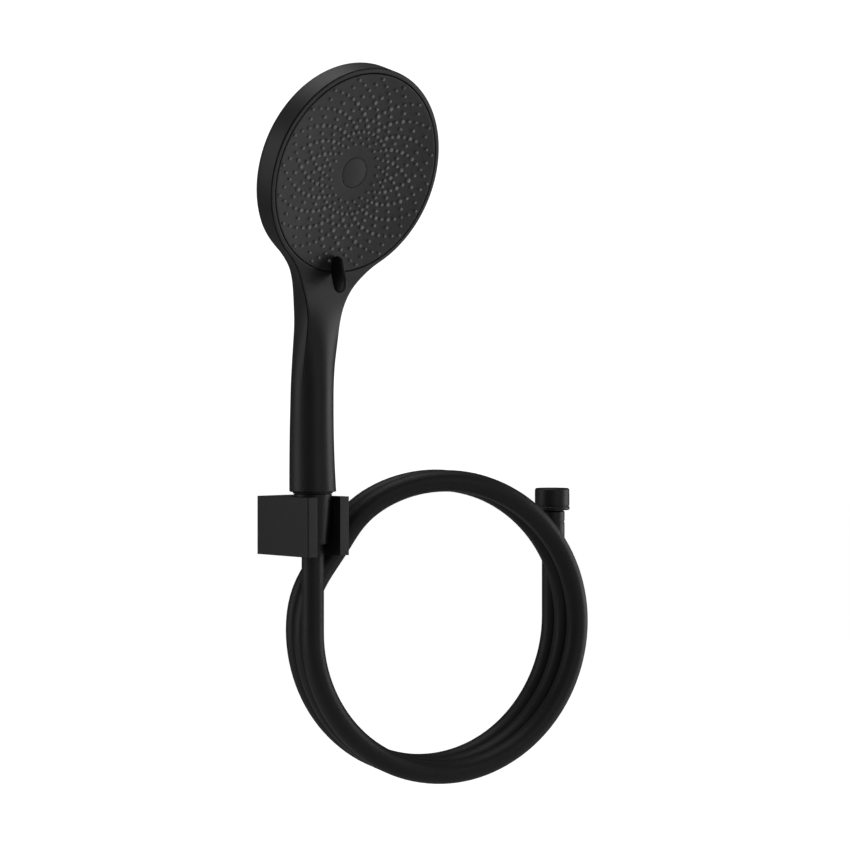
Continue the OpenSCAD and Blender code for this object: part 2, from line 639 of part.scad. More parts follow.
module distributor_disc() {
    span = 2 * lever_turn + 14;
    color(shade_shell) on_face() difference() {
        union() {
            translate([0, 0, distributor_z]) cylinder(r = disc_r - 1.6, h = distributor_t, $fn = 96);
            translate([0, 0, distributor_z])
                cylinder(r = nozzle_ring_r - 4, h = dish_z - plate_t - 0.05 - distributor_z);
        }
        translate([0, 0, distributor_z - 2]) cylinder(r = hub_r + 0.06, h = 20);
        rotate([0, 0, 90 - span / 2]) rotate_extrude(angle = span)
            translate([plunger_y - groove_w / 2, distributor_z - 1]) square([groove_w, 3]);
        for (i = [0:5]) rotate([0, 0, 60 * i + 30]) translate([22, 0, distributor_z - 1])
            cylinder(r = 3, h = distributor_t + 2);
    }
}
screw_head_r = 6;
module centre_screw() {
    seat_z = dish_z - plate_t;
    color(shade_steel) on_face() difference() {
        union() {
            translate([0, 0, seat_z + 0.02]) cylinder(r = screw_head_r, h = plate_t - recess_t - 0.15);
            translate([0, 0, chamber_back_z + 1]) cylinder(r = 2, h = seat_z - chamber_back_z - 0.9);
        }
        translate([0, 0, seat_z + 0.5]) cylinder(r = 1.7, h = 4, $fn = 6);
    }
}
module centre_cap() {
    color(shade_shell) on_face() translate([0, 0, dish_z - recess_t + 0.02])
        cylinder(r = cap_d / 2, h = recess_t - 0.02);
}
blade_r = lever_w / 2;
blade_foot = [-lever_start_r - 5, blade_r - 3.2];
blade_run = lever_len - lever_w;
foot_len = 9.2;
ring_gap = 0.6;
foot_near = [-lever_start_r, face_z(lever_start_r) + 0.04];
foot_far = [-lever_start_r - foot_len, face_z(lever_start_r + foot_len) + 0.04];
module blade_outline() {
    translate(blade_foot) rotate(180 - lever_lean) {
        circle(r = blade_r);
        translate([0, -blade_r]) square([blade_run, lever_w]);
        translate([blade_run, 0]) circle(r = blade_r);
    }
    polygon([foot_near, foot_near + [0, 1.2], blade_foot, foot_far + [0, 2], foot_far]);
}
module mode_lever() {
    color(shade_dark) on_face() {
        translate([-lever_t / 2, 0, 0]) rotate([90, 0, 90]) linear_extrude(lever_t) difference() {
            blade_outline();
            polygon([foot_near + [10, 0], foot_near, foot_far, foot_far + [0, ring_gap],
                foot_far + [-10, ring_gap], foot_far - [10, 10], foot_near + [10, -10]]);
        }
        for (i = [0, 1]) translate([0, -lever_start_r - 2 - peg_spread * i, peg_foot_z])
            cylinder(r = peg_r, h = 1 - peg_foot_z, $fn = 24);
    }
}

holder_body();
wall_plate();
grub_screw();
hose_drop();
hose_coil();
hose_tail();
end_ferrule();
end_nipple();
end_washer();
end_nut();
cone_nipple();
cone_ferrule();
cone_nut();
strainer_washer();
inlet_stub();
stub_seal();
flow_limiter();
check_valve_body();
check_valve_poppet();
check_valve_spring();
water_tube();
tube_seals();
rear_shell();
front_cover();
water_chamber();
chamber_seal();
hub_seal();
detent_plunger();
detent_spring();
spray_plate();
nozzle_mat();
distributor_disc();
centre_screw();
centre_cap();
mode_lever();
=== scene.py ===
import json
import math

import bmesh
import bpy
import numpy as np
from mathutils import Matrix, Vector


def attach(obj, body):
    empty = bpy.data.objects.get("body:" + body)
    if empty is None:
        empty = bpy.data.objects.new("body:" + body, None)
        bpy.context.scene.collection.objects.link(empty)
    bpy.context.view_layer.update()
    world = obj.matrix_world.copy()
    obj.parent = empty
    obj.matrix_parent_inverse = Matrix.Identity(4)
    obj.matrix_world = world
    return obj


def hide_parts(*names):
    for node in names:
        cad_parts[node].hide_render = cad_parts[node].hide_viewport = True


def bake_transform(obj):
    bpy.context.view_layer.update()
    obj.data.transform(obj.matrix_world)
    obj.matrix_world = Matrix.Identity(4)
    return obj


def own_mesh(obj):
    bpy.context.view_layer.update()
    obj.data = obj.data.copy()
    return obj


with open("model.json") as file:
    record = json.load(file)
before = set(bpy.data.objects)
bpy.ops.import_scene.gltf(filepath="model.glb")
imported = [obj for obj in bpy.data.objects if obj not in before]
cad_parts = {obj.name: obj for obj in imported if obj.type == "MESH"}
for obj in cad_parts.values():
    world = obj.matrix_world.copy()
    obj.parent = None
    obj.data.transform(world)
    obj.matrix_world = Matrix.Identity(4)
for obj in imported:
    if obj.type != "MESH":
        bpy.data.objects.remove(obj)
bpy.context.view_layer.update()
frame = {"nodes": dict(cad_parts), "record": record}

bl_info = {
    "name": "Hand shower set",
    "version": (1, 0, 0),
    "blender": (4, 5, 0),
    "location": "View3D > Sidebar > Hand shower",
    "description": "Builds the looks of a matt black hand shower, its wall fork and its coiled hose",
    "category": "Add Mesh",
}

MM = 0.001              # the formulas below work in millimetres
CREASE = 67.0           # section angle of the edge where the two handset shells meet
TOP = 180.0             # section angle of the middle of the back
AXIS_OUT = 33.5         # cone axis, ahead of the wall
FOOT_Z = 21.2           # foot of the handle
FOOT_RIM_R = 0.9        # rounded rim of both shells at the foot
HOLE_R = 62.3           # round opening of the front cover
DISC_R = 62.0           # edge of the spray plate
PLATE_T = 2.2           # thickness of the spray plate
SCREW_HOLE_R = 6.6      # hole in the spray plate, under the cap
THREAD_R = 9.9          # half-inch pipe thread, at the radius of its pitch
CONE_FOOT_Z = -11.2     # foot of the conical nut
HOSE_TOP_Z = -6.2       # where the hose's lead ends inside the conical nut
HOSE_END_Z = -19.7      # where the hose ends inside the ferrule of the far end


def length(name, description, value):
    """A length property in metres whose default is given in millimetres."""
    return bpy.props.FloatProperty(name=name, description=description, default=value * MM, unit="LENGTH")


def shade(name, description, value):
    """A colour property."""
    return bpy.props.FloatVectorProperty(
        name=name, description=description, default=value, size=3, min=0.0, max=1.0, subtype="COLOR")


class SHOWER_PG_form(bpy.types.PropertyGroup):
    """Sizes of the handset, the disc and the lever"""

    head_d: length("Head diameter", "Diameter of the round head", 131)
    head_wall_h: length("Side wall", "Height of the head's straight side wall", 12.8)
    head_depth: length("Head depth", "Depth of the head at its centre", 29)
    face_tilt: bpy.props.FloatProperty(
        name="Face tilt", description="Tilt of the spray face below straight ahead",
        default=math.radians(22.3), subtype="ANGLE")
    face_out: length("Face reach", "Distance of the face centre in front of the handle axis", 41.4)
    face_up: length("Face height", "Height of the face centre above the foot of the handle", 193)
    shell_t: length("Wall", "Wall thickness of both shells", 2.4)
    foot_d: length("Foot diameter", "Diameter of the handle at its foot", 29.2)
    grip_d: length("Grip width", "Width of the handle at its narrowest", 26.8)
    sweep_r: length("Neck sweep", "Radius of the hollow sweep from handle to head", 58)
    neck_len: length("Neck length", "Length of the curved neck below the head", 28)
    neck_depth: length("Neck depth", "Depth of the neck, front to back", 24.2)
    face_dish: length("Dish", "Depth of the hollow of the spray face", 4)
    shoulder_r: length("Shoulder", "Radius of the rounded edges along the seam of the two shells", 0.7)
    lip_r: length("Lip", "Radius of the rounded edge around the spray disc", 0.7)
    cap_d: length("Cap", "Diameter of the centre cap", 18.6)
    nozzle_stand: length("Nozzle height", "Height of the nozzle tips above the plate", 0.9)
    lever_t: length("Lever thickness", "Thickness of the mode lever's blade", 2.8)
    lever_w: length("Lever width", "Width of the mode lever's blade", 11.4)


class SHOWER_PG_hose(bpy.types.PropertyGroup):
    """Sizes of the hose, its coil and its nuts"""

    hose_d: length("Hose", "Outside diameter of the hose", 14)
    coil_r: length("Coil radius", "Radius of the coil at the middle of the hose", 93.6)
    coil_pitch: length("Pitch", "Distance from one turn to the next", 14.05)
    coil_z: length("Coil height", "Height of the coil's centre", -67)
    coil_yaw: bpy.props.FloatProperty(
        name="Coil turn", description="Angle between the coil's axis and the wall's normal",
        default=math.radians(20.75), subtype="ANGLE")
    end_nut_d: length("Round nut", "Diameter of the round nut", 23.8)
    cone_top_d: length("Cone top", "Large diameter of the conical nut", 24)
    cone_foot_d: length("Cone foot", "Small diameter of the conical nut", 19)


class SHOWER_PG_finish(bpy.types.PropertyGroup):
    """Colours of the finishes"""

    shell: shade("Shell", "Moulded matt black plastic of the handset", (0.012, 0.012, 0.0128))
    plate: shade("Spray plate", "Slightly paler black of the spray plate", (0.019, 0.019, 0.02))
    holder: shade("Holder", "Powder coat of the wall fork", (0.0115, 0.0115, 0.0122))
    fitting: shade("Fittings", "Coat of the turned nuts", (0.0105, 0.0105, 0.0112))
    hose: shade("Hose", "Skin of the hose", (0.01, 0.01, 0.0106))
    silicone: shade("Silicone", "Soft nozzle tips", (0.3, 0.31, 0.32))


# ---- Meshes from whole arrays ----

def quads(rows, cols, first=0, wrap=False):
    """Faces of a grid of points numbered row after row; wrap joins the last column to the first."""
    across = cols if wrap else cols - 1
    i, j = np.meshgrid(np.arange(rows - 1), np.arange(across), indexing="ij")
    k = (j + 1) % cols
    corners = [i * cols + j, i * cols + k, (i + 1) * cols + k, (i + 1) * cols + j]
    return np.stack(corners, axis=-1).reshape(-1, 4) + first


def strip(a, b):
    """Faces between two equally long rows of point numbers."""
    return np.stack([a[:-1], a[1:], b[1:], b[:-1]], axis=-1)


def new_piece(name, points, faces, crease_deg=35.0, weld=2e-6, uv=None):
    """Mesh of points in metres and faces; what coincides is welded and the faces are turned outwards."""
    mesh = bpy.data.meshes.new(name)
    faces = faces.tolist() if isinstance(faces, np.ndarray) else [list(face) for face in faces]
    mesh.from_pydata(np.asarray(points, dtype=float).reshape(-1, 3).tolist(), [], faces)
    if uv is not None:
        layer = mesh.uv_layers.new(name="skin")
        corner = np.empty(len(mesh.loops), dtype=np.int32)
        mesh.loops.foreach_get("vertex_index", corner)
        layer.data.foreach_set("uv", np.asarray(uv, dtype=np.float32).reshape(-1, 2)[corner].ravel())
    work = bmesh.new()
    work.from_mesh(mesh)
    if weld:
        bmesh.ops.remove_doubles(work, verts=work.verts, dist=weld)
        bmesh.ops.dissolve_degenerate(work, edges=work.edges, dist=weld)
    bmesh.ops.recalc_face_normals(work, faces=work.faces)
    work.to_mesh(mesh)
    work.free()
    mesh.polygons.foreach_set("use_smooth", np.ones(len(mesh.polygons), dtype=bool))
    mesh.set_sharp_from_angle(angle=math.radians(crease_deg))
    piece = bpy.data.objects.new(name, mesh)
    bpy.context.scene.collection.objects.link(piece)
    return piece


def finish_piece(piece, material, slot, body, *nodes):
    """Gives a piece its material, its body and the nodes that it stands for; the slot argument is not used.
    """
    piece.data.materials.clear()
    piece.data.materials.append(material)
    if body:
        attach(piece, body)
    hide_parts(*nodes)


def filleted(corners, steps=4):
    """Outline with rounded corners (x, y, reach): each is a parabola arc from reach before to reach after."""
    corners = np.asarray(corners, dtype=float)
    p = corners[:, :2]
    back = np.roll(p, 1, axis=0) - p
    ahead = np.roll(p, -1, axis=0) - p
    run_back = np.linalg.norm(back, axis=1)
    run_ahead = np.linalg.norm(ahead, axis=1)
    nearly_half = 0.49    # neighbouring arcs share a side and never meet
    reach = np.minimum(corners[:, 2], nearly_half * np.minimum(run_back, run_ahead))[:, None]
    a = p + back / run_back[:, None] * reach
    b = p + ahead / run_ahead[:, None] * reach
    t = np.linspace(0, 1, steps + 1)[None, :, None]
    arcs = (1 - t) ** 2 * a[:, None] + 2 * t * (1 - t) * p[:, None] + t ** 2 * b[:, None]
    return arcs.reshape(-1, 2)


def lathe(name, outline, centre, segments=96, place=None, crease_deg=35.0):
    """Closed outline of (radius, height) turned once around an upright axis, at centre or put in place."""
    turn = np.linspace(0, 2 * math.pi, segments, endpoint=False)[:, None]
    r, z = outline[None, :, 0], outline[None, :, 1]
    cols = len(outline)
    points = np.stack([r * np.cos(turn), r * np.sin(turn), np.broadcast_to(z, (segments, cols))], -1)
    points = place(points) if place else (points + np.asarray(centre)) * MM
    faces = quads(segments, cols, wrap=True)
    last = np.arange(cols)
    closing = strip(np.append(last, 0) + (segments - 1) * cols, np.append(last, 0))
    return new_piece(name, points, np.concatenate([faces, closing]), crease_deg)


def on_face(p):
    """Row place of points given on the spray face: x across, y up along the face, z out of it, in mm."""
    tilt = bpy.context.scene.shower_form.face_tilt
    form = HandsetForm()
    x, y, z = p[..., 0], p[..., 1], p[..., 2]
    return np.stack([
        x,
        -AXIS_OUT - form.face_out - y * math.sin(tilt) - z * math.cos(tilt),
        FOOT_Z + form.face_up + y * math.cos(tilt) - z * math.sin(tilt)], -1) * MM


# ---- Outer form of the handset ----

def smooth(t):
    """Runs from 0 to 1 with level ends: c squared times three less twice c, with c held within 0 and 1."""
    c = np.clip(t, 0.0, 1.0)
    return c * c * (3 - 2 * c)


def quarter_round(distance, radius):
    """Depth of a quarter-round edge: one radius at the edge itself, nothing from one radius away on."""
    u = np.clip(1 - distance / radius, 0.0, 1.0)
    return radius * (1 - np.sqrt(1 - u * u))


class HandsetForm:
    """The handset's outer form as a function of section angle, height above the foot and inset, in mm.

    The section angle runs from 0 in front over CREASE at the seam to TOP behind; the inset leads inwards.
    """

    waist_f = 12.8       # reach of the front line where the grip is narrowest
    neck_f = 12.6        # and where the neck begins
    flare_h = 66.0       # height over which the grip widens towards the foot
    wall_share = 0.22    # share of the rear half's turn that the straight side wall takes up

    def __init__(self):
        s = bpy.context.scene.shower_form
        for name in ("head_d", "head_wall_h", "head_depth", "face_out", "face_up", "shell_t", "foot_d",
                     "grip_d", "sweep_r", "neck_len", "neck_depth", "shoulder_r", "lip_r"):
            setattr(self, name, getattr(s, name) / MM)
        self.tilt = s.face_tilt
        self.head_r = self.head_d / 2
        self.ring_foot = self.face_up - (self.head_r + 1) * math.cos(self.tilt)
        self.neck_h = self.ring_foot - self.neck_len
        self.waist_h = self.neck_h / 2
        self.sweep_x = self.grip_d / 2 + self.sweep_r
        self.sweep_d = -math.sqrt((self.head_r + self.sweep_r) ** 2 - self.sweep_x ** 2)

    def along_face(self, h):
        """Height measured up along the tilted face from its centre."""
        return (h - self.face_up) / math.cos(self.tilt)

    def face_front(self, h):
        """Reach of the face plane: it grows with height by the tangent of the tilt."""
        return self.face_out + (h - self.face_up) * math.tan(self.tilt)

    def front(self, h):
        """Reach of the front line: two parabolas up the handle, a cubic through the neck, the face plane."""
        low = self.waist_f + (self.foot_d / 2 - self.waist_f) * (1 - h / self.waist_h) ** 2
        rise = (h - self.waist_h) / (self.neck_h - self.waist_h)
        high = self.waist_f + (self.neck_f - self.waist_f) * rise ** 2
        t = (h - self.neck_h) / self.neck_len
        m0 = self.neck_len * 2 * (self.neck_f - self.waist_f) / (self.neck_h - self.waist_h)
        m1 = 1.2 * self.neck_len * math.tan(self.tilt)
        neck = (self.neck_f * (2 * t ** 3 - 3 * t ** 2 + 1) + m0 * (t ** 3 - 2 * t ** 2 + t)
                + self.face_front(self.ring_foot) * (3 * t ** 2 - 2 * t ** 3) + m1 * (t ** 3 - t ** 2))
        return np.where(h >= self.ring_foot, self.face_front(h),
                        np.where(h > self.neck_h, neck, np.where(h < self.waist_h, low, high)))

    def depth(self, h, e):
        """Section depth: side wall plus an elliptic dome on the head, a smooth taper down neck and handle."""
        d = self.along_face(h)
        dome = self.head_depth - self.head_wall_h
        head = self.head_wall_h - e + (dome - e) * np.sqrt(np.clip(1 - (d / (self.head_r - e)) ** 2, 0, 1))
        stem = (self.neck_depth + (self.head_depth - self.neck_depth) * smooth((d + 95) / 75) - 2 * e
                + (self.foot_d - self.neck_depth) * np.clip(1 - h / self.ring_foot, 0, None))
        return np.where(d >= 0, head, stem)

    def half_width(self, h, e):
        """Half width: a circle on the head, an arc of the neck sweep, then a parabola towards the foot."""
        d = self.along_face(h)
        touch = self.sweep_d * (self.head_r - e) / (self.head_r + self.sweep_r)
        circle = np.sqrt(np.clip((self.head_r - e) ** 2 - d * d, 0, None))
        sweep = self.sweep_x - np.sqrt(np.clip((self.sweep_r + e) ** 2 - (d - self.sweep_d) ** 2, 0, None))
        flare = (self.foot_d - self.grip_d) / 2 * np.clip(1 - h / self.flare_h, 0, None) ** 2
        grip = self.grip_d / 2 - e + flare
        return np.where(d >= touch, circle, np.where(d > self.sweep_d, sweep, grip))

    def side_slope(self, h):
        """Share of a sideways step that lies square to the outline."""
        d = self.along_face(h)
        on_sweep = (self.sweep_x - self.half_width(h, 0.0)) / self.sweep_r
        return np.where(d > self.sweep_d, np.clip(on_sweep, 0.3, 1.0), 1.0)

    def point(self, a, h, e):
        """Point at section angle a, height h and inset e.

        A handle section is an ellipse. A head section has a level front out to the seam, a straight side wall
        and a quarter ellipse over the back. Between them the two are mixed by a smooth share of the height.
        """
        a, h, e = np.broadcast_arrays(np.asarray(a, float), np.asarray(h, float), np.asarray(e, float))
        w, depth = self.half_width(h, e), self.depth(h, e)
        flat_from, flat_to = self.waist_h + 8, self.neck_h + 21
        flat = smooth((h - flat_from) / (flat_to - flat_from))
        wall = (self.head_wall_h - e) * smooth((self.along_face(h) + 80) / 40)
        share = self.wall_share * wall / self.head_wall_h + 1e-9
        t = (a - CREASE) / (TOP - CREASE)
        q = np.radians(90 * np.clip((t - share) / (1 - share), 0, 1))
        front = a <= CREASE
        flat_x = np.where(front, w * a / CREASE, np.where(t < share, w, w * np.cos(q)))
        behind = np.where(t < share, wall * t / share, wall + (depth - wall) * np.sin(q))
        flat_y = np.where(front, 0.0, behind)
        x = (1 - flat) * w * np.sin(np.radians(a)) + flat * flat_x
        y = (1 - flat) * depth / 2 * (1 - np.cos(np.radians(a))) + flat * flat_y + e
        lean = self.tilt * smooth((h - self.neck_h + 4) / (self.ring_foot - self.neck_h + 4))
        return np.stack([x, -AXIS_OUT - self.front(h) + y * np.cos(lean),
                         FOOT_Z + h + y * np.sin(lean)], -1) * MM

    def seam_share(self, h):
        """The seam is plain on head and neck and fades to a hairline down the grip."""
        return 0.22 + 0.78 * smooth((h - self.waist_h) / (self.neck_h - self.waist_h))

    def shoulder(self, steps=5, sweep_deg=58, slot=0.2):
        """Seam edge as runs from the seam and their insets: an arc of shoulder_r above a thin slot."""
        angle = np.radians(np.linspace(sweep_deg, 0, steps))
        run = self.shoulder_r * (math.sin(math.radians(sweep_deg)) - np.sin(angle)) + slot
        return run, self.shoulder_r * (1 - np.cos(angle))


def halves(outer, inner, walls):
    """Joins an outer and an inner grid by walls along the named edges and adds the mirrored half."""
    rows, cols = outer.shape[:2]
    size = rows * cols
    grid = np.arange(size).reshape(rows, cols)
    faces = [quads(rows, cols), quads(rows, cols, size)]
    for edge in walls:
        line = edge(grid)
        faces.append(strip(line, line + size))
    faces = np.concatenate(faces)
    points = np.concatenate([outer.reshape(-1, 3), inner.reshape(-1, 3)])
    mirrored = points * np.array([-1.0, 1.0, 1.0])
    return np.concatenate([points, mirrored]), np.concatenate([faces, faces[:, ::-1] + len(points)])


def foot_rows(top, count, near_top=()):
    """Heights from the foot up: close at the rounded rim, then even, then the given steps below the top."""
    rim = np.array([0.0, 0.06, 0.18, 0.36, 0.6, FOOT_RIM_R])
    end = top - (near_top[0] if near_top else 0.0)
    even = np.linspace(rim[-1], end, count)[1:]
    return np.concatenate([rim, even, top - np.array(near_top[1:])])


def rear_shell_grid(form, inset):
    """Half of the rear shell: rows up the handle and over the head, columns from the seam to the middle.

    The head's rows fan out about the face centre. The first columns follow the rounded seam edge: its run is
    made a section angle by the pace of the outline beside the seam. Only the inner grid has an inset.
    """
    outer = inset is None
    first, closer, back_cols = 29.0, 150.0, 44
    handle = foot_rows(form.face_up - form.head_r * math.cos(math.radians(first)) * math.cos(form.tilt), 60)
    crown = closer + (180 - closer) * np.sin(np.linspace(0, math.pi / 2, 16)[1:])
    turn = np.radians(np.concatenate([np.linspace(first, closer, 56)[1:], crown]))
    run, depth = form.shoulder()
    e_cols = np.pad(depth, (0, back_cols)) if outer else np.full(len(depth) + back_cols, inset)
    shrink = e_cols[None, :] * (turn[:, None] > math.pi / 2)
    head_h = form.face_up - (form.head_r - shrink) * math.cos(form.tilt) * np.cos(turn)[:, None]
    h = np.concatenate([np.repeat(handle[:, None], len(e_cols), axis=1), head_h])
    inside_edge = form.head_r - 0.02
    base = np.concatenate([handle, form.face_up - inside_edge * math.cos(form.tilt) * np.cos(turn)])[:, None]
    half_degree = form.point(CREASE + 0.6, base, 0.0) - form.point(CREASE + 0.1, base, 0.0)
    pace = np.linalg.norm(half_degree, axis=-1) / MM
    fade = form.seam_share(base)
    near = CREASE + 0.5 * run[None, :] * fade / np.maximum(pace, 0.02)
    back = near[:, -1:] + (TOP - near[:, -1:]) * np.linspace(0, 1, back_cols + 1)[None, 1:] ** 1.15
    a = np.concatenate([near, back], axis=1)
    e = np.maximum(e_cols * fade, quarter_round(base, FOOT_RIM_R)) if outer else e_cols[None, :]
    return form.point(a, h, e)


def front_cover_grid(form, inset):
    """Half of the front cover: rows up the handle to the round opening, then fanned around it to the top.

    A column is a run across the cover, from its middle or its opening to the seam. On the handle the run is
    made a section angle, on the head it lies on a line from the opening's edge to the outline. Only the inner
    grid has an inset. Returns the grid and the number of its first head row.
    """
    outer = inset is None
    lip_run = np.array([0.0, 0.05, 0.14, 0.28, 0.45, 0.7])
    run, depth = (values[::-1] for values in form.shoulder())
    reach = run + depth
    even_cols = 12
    plain_cols = len(lip_run) + even_cols
    e_cols = np.pad(depth, (plain_cols, 0)) if outer else np.full(plain_cols + len(depth), inset)

    def columns(width, slope, fade=1.0):
        """Runs from the inner edge: close at the lip, even across, close again at the seam shoulder."""
        far = width[:, None] - reach[None, :] * fade / slope[:, None]
        gap = far[:, :1] - lip_run[-1]
        lip = np.repeat(lip_run[None, :], len(width), axis=0)
        between = lip_run[-1] + gap * np.linspace(0, 1, even_cols + 1)[None, 1:-1]
        return np.concatenate([lip, between, far[:, :1] - 1e-3, far], axis=1)

    # rows up the handle
    hole_h = form.face_up - HOLE_R * math.cos(form.tilt)
    h = foot_rows(hole_h, 64, (6.0, 4.0, 2.6, 1.6, 1.0, 0.7, 0.45, 0.28, 0.14, 0.05))[:, None]
    fine = np.linspace(0, CREASE, 25)[None, :]
    arc = np.linalg.norm(np.diff(form.point(fine, h, 0.0), axis=1), axis=-1).sum(axis=1) / MM
    fade = form.seam_share(h)
    share = columns(arc, form.side_slope(h[:, 0]), fade) / arc[:, None]
    if outer:
        to_hole = np.hypot(form.half_width(h, 0.0) * share, form.along_face(h)) - HOLE_R
        rim = np.maximum(quarter_round(h, FOOT_RIM_R), quarter_round(to_hole, form.lip_r))
        e = np.maximum(e_cols * fade, rim)
        share = share * form.half_width(h, 0.0) / np.maximum(form.half_width(h, e), 0.1)
    else:
        e = e_cols[None, :]
    handle = form.point(CREASE * np.minimum(share, 1.0), h, e)

    # rows of the head, from the foot of the opening round to its top
    turn = np.radians(np.linspace(-90, 90, 91))
    foot_w = float(form.half_width(np.array(hole_h), 0.0))
    open_by = math.atan2(-HOLE_R, foot_w) + math.pi / 2
    out = turn + open_by * (1 - smooth((turn + math.pi / 2) / math.radians(45)))
    u = np.stack([np.cos(out), np.sin(out)], -1)
    centre = np.array([form.sweep_x, form.sweep_d])
    along = u @ centre
    touch = math.asin(form.sweep_d / (form.head_r + form.sweep_r))
    swept = along - np.sqrt(np.clip(along ** 2 - centre @ centre + form.sweep_r ** 2, 0, None))
    edge = u * np.where(out < touch, swept, form.head_r)[:, None]
    start = HOLE_R * np.stack([np.cos(turn), np.sin(turn)], -1)
    square = np.where((out < touch)[:, None], (centre - edge) / form.sweep_r, u)
    way = edge - start
    width = np.linalg.norm(way, axis=1)
    way = way / width[:, None]
    slope = np.clip((way * square).sum(axis=1), 0.25, 1.0)
    runs = columns(width, slope)
    if not outer:
        runs = runs * ((width - 0.5 * inset / slope) / width)[:, None]
    flat = start[:, None] + way[:, None] * runs[..., None]
    if outer:
        e = np.maximum(e_cols, quarter_round(np.hypot(flat[..., 0], flat[..., 1]) - HOLE_R, form.lip_r))
    else:
        e = np.broadcast_to(e_cols, flat.shape[:-1])
    head = on_face(np.stack([flat[..., 0], flat[..., 1], -e], -1))
    return np.concatenate([handle, head]), len(handle)


# ---- Shader groups shared by the finishes ----

def node_group(name, inputs, outputs):
    """New shader group with float, vector or colour sockets; returns it with its two end nodes."""
    tree = bpy.data.node_groups.new(name, "ShaderNodeTree")
    for label, kind, value in inputs:
        socket = tree.interface.new_socket(label, in_out="INPUT", socket_type=kind)
        if value is not None:
            socket.default_value = value
    for label, kind in outputs:
        tree.interface.new_socket(label, in_out="OUTPUT", socket_type=kind)
    return tree, tree.nodes.new("NodeGroupInput"), tree.nodes.new("NodeGroupOutput")


def add(tree, kind, links=(), **values):
    """Adds a node, sets its properties and links (socket on the new node, source socket) pairs."""
    node = tree.nodes.new(kind)
    for name, value in values.items():
        setattr(node, name, value)
    for target, source in links:
        if isinstance(source, (int, float, tuple)):
            node.inputs[target].default_value = source
        else:
            tree.links.new(source, node.inputs[target])
    return node


def grain_group():
    """Moulded grain: noise of two sizes gives a height; a slow noise and the fine one move the roughness."""
    found = bpy.data.node_groups.get("moulded_grain")
    if found:
        return found
    tree, start, end = node_group("moulded_grain", [
        ("Vector", "NodeSocketVector", None), ("Scale", "NodeSocketFloat", 1800.0),
        ("Roughness", "NodeSocketFloat", 0.5), ("Spread", "NodeSocketFloat", 0.06)],
        [("Height", "NodeSocketFloat"), ("Roughness", "NodeSocketFloat")])
    vector, scale, roughness, spread = (
        start.outputs[name] for name in ("Vector", "Scale", "Roughness", "Spread"))
    fine = add(tree, "ShaderNodeTexNoise", [
        ("Vector", vector), ("Scale", scale), ("Detail", 3.0), ("Roughness", 0.62)])
    wider = add(tree, "ShaderNodeMath", [(0, scale), (1, 0.21)], operation="MULTIPLY")
    coarse = add(tree, "ShaderNodeTexNoise", [
        ("Vector", vector), ("Scale", wider.outputs[0]), ("Detail", 2.0)])
    height = add(tree, "ShaderNodeMath", [(0, fine.outputs[0]), (1, 0.7), (2, coarse.outputs[0])],
                 operation="MULTIPLY_ADD")
    tree.links.new(height.outputs[0], end.inputs["Height"])
    slow = add(tree, "ShaderNodeTexNoise", [("Vector", vector), ("Scale", 34.0), ("Detail", 4.0)])
    centred = add(tree, "ShaderNodeMath", [(0, slow.outputs[0]), (1, 0.5)], operation="SUBTRACT")
    moved = add(tree, "ShaderNodeMath", [(0, centred.outputs[0]), (1, spread), (2, roughness)],
                operation="MULTIPLY_ADD")
    specks = add(tree, "ShaderNodeMath", [(0, fine.outputs[0]), (1, spread), (2, moved.outputs[0])],
                 operation="MULTIPLY_ADD")
    tree.links.new(specks.outputs[0], end.inputs["Roughness"])
    return tree


def drift_group():
    """Slow colour drift: a slow noise mixes a shade with a paler one."""
    found = bpy.data.node_groups.get("colour_drift")
    if found:
        return found
    black, dark = (0.02, 0.02, 0.02, 1), (0.03, 0.03, 0.03, 1)
    tree, start, end = node_group("colour_drift", [
        ("Vector", "NodeSocketVector", None), ("Scale", "NodeSocketFloat", 45.0),
        ("Shade", "NodeSocketColor", black), ("Pale shade", "NodeSocketColor", dark)],
        [("Color", "NodeSocketColor")])
    slow = add(tree, "ShaderNodeTexNoise", [
        ("Vector", start.outputs["Vector"]), ("Scale", start.outputs["Scale"]), ("Detail", 5.0),
        ("Roughness", 0.6)])
    share = add(tree, "ShaderNodeMapRange", [(0, slow.outputs[0]), (1, 0.3), (2, 0.75)])
    colour_a, colour_b, colour_out = 6, 7, 2    # the mix node has a set of sockets for each kind of value
    mix = add(tree, "ShaderNodeMix", [
        (0, share.outputs[0]), (colour_a, start.outputs["Shade"]), (colour_b, start.outputs["Pale shade"])],
        data_type="RGBA")
    tree.links.new(mix.outputs[colour_out], end.inputs["Color"])
    return tree


def turning_group():
    """Turned rings: the height waves with the place along the piece, broken up by a fine noise."""
    found = bpy.data.node_groups.get("turned_rings")
    if found:
        return found
    tree, start, end = node_group("turned_rings", [
        ("Vector", "NodeSocketVector", None), ("Scale", "NodeSocketFloat", 900.0)],
        [("Height", "NodeSocketFloat")])
    wave = add(tree, "ShaderNodeTexWave", [
        ("Vector", start.outputs["Vector"]), ("Scale", start.outputs["Scale"]), ("Distortion", 1.5),
        ("Detail", 2.0), ("Detail Scale", 2.0)], bands_direction="Z")
    tree.links.new(wave.outputs["Fac"], end.inputs["Height"])
    return tree


def principled(name):
    """New node material and its shader."""
    material = bpy.data.materials.new(name)
    material.use_nodes = True
    return material, material.node_tree, material.node_tree.nodes["Principled BSDF"]


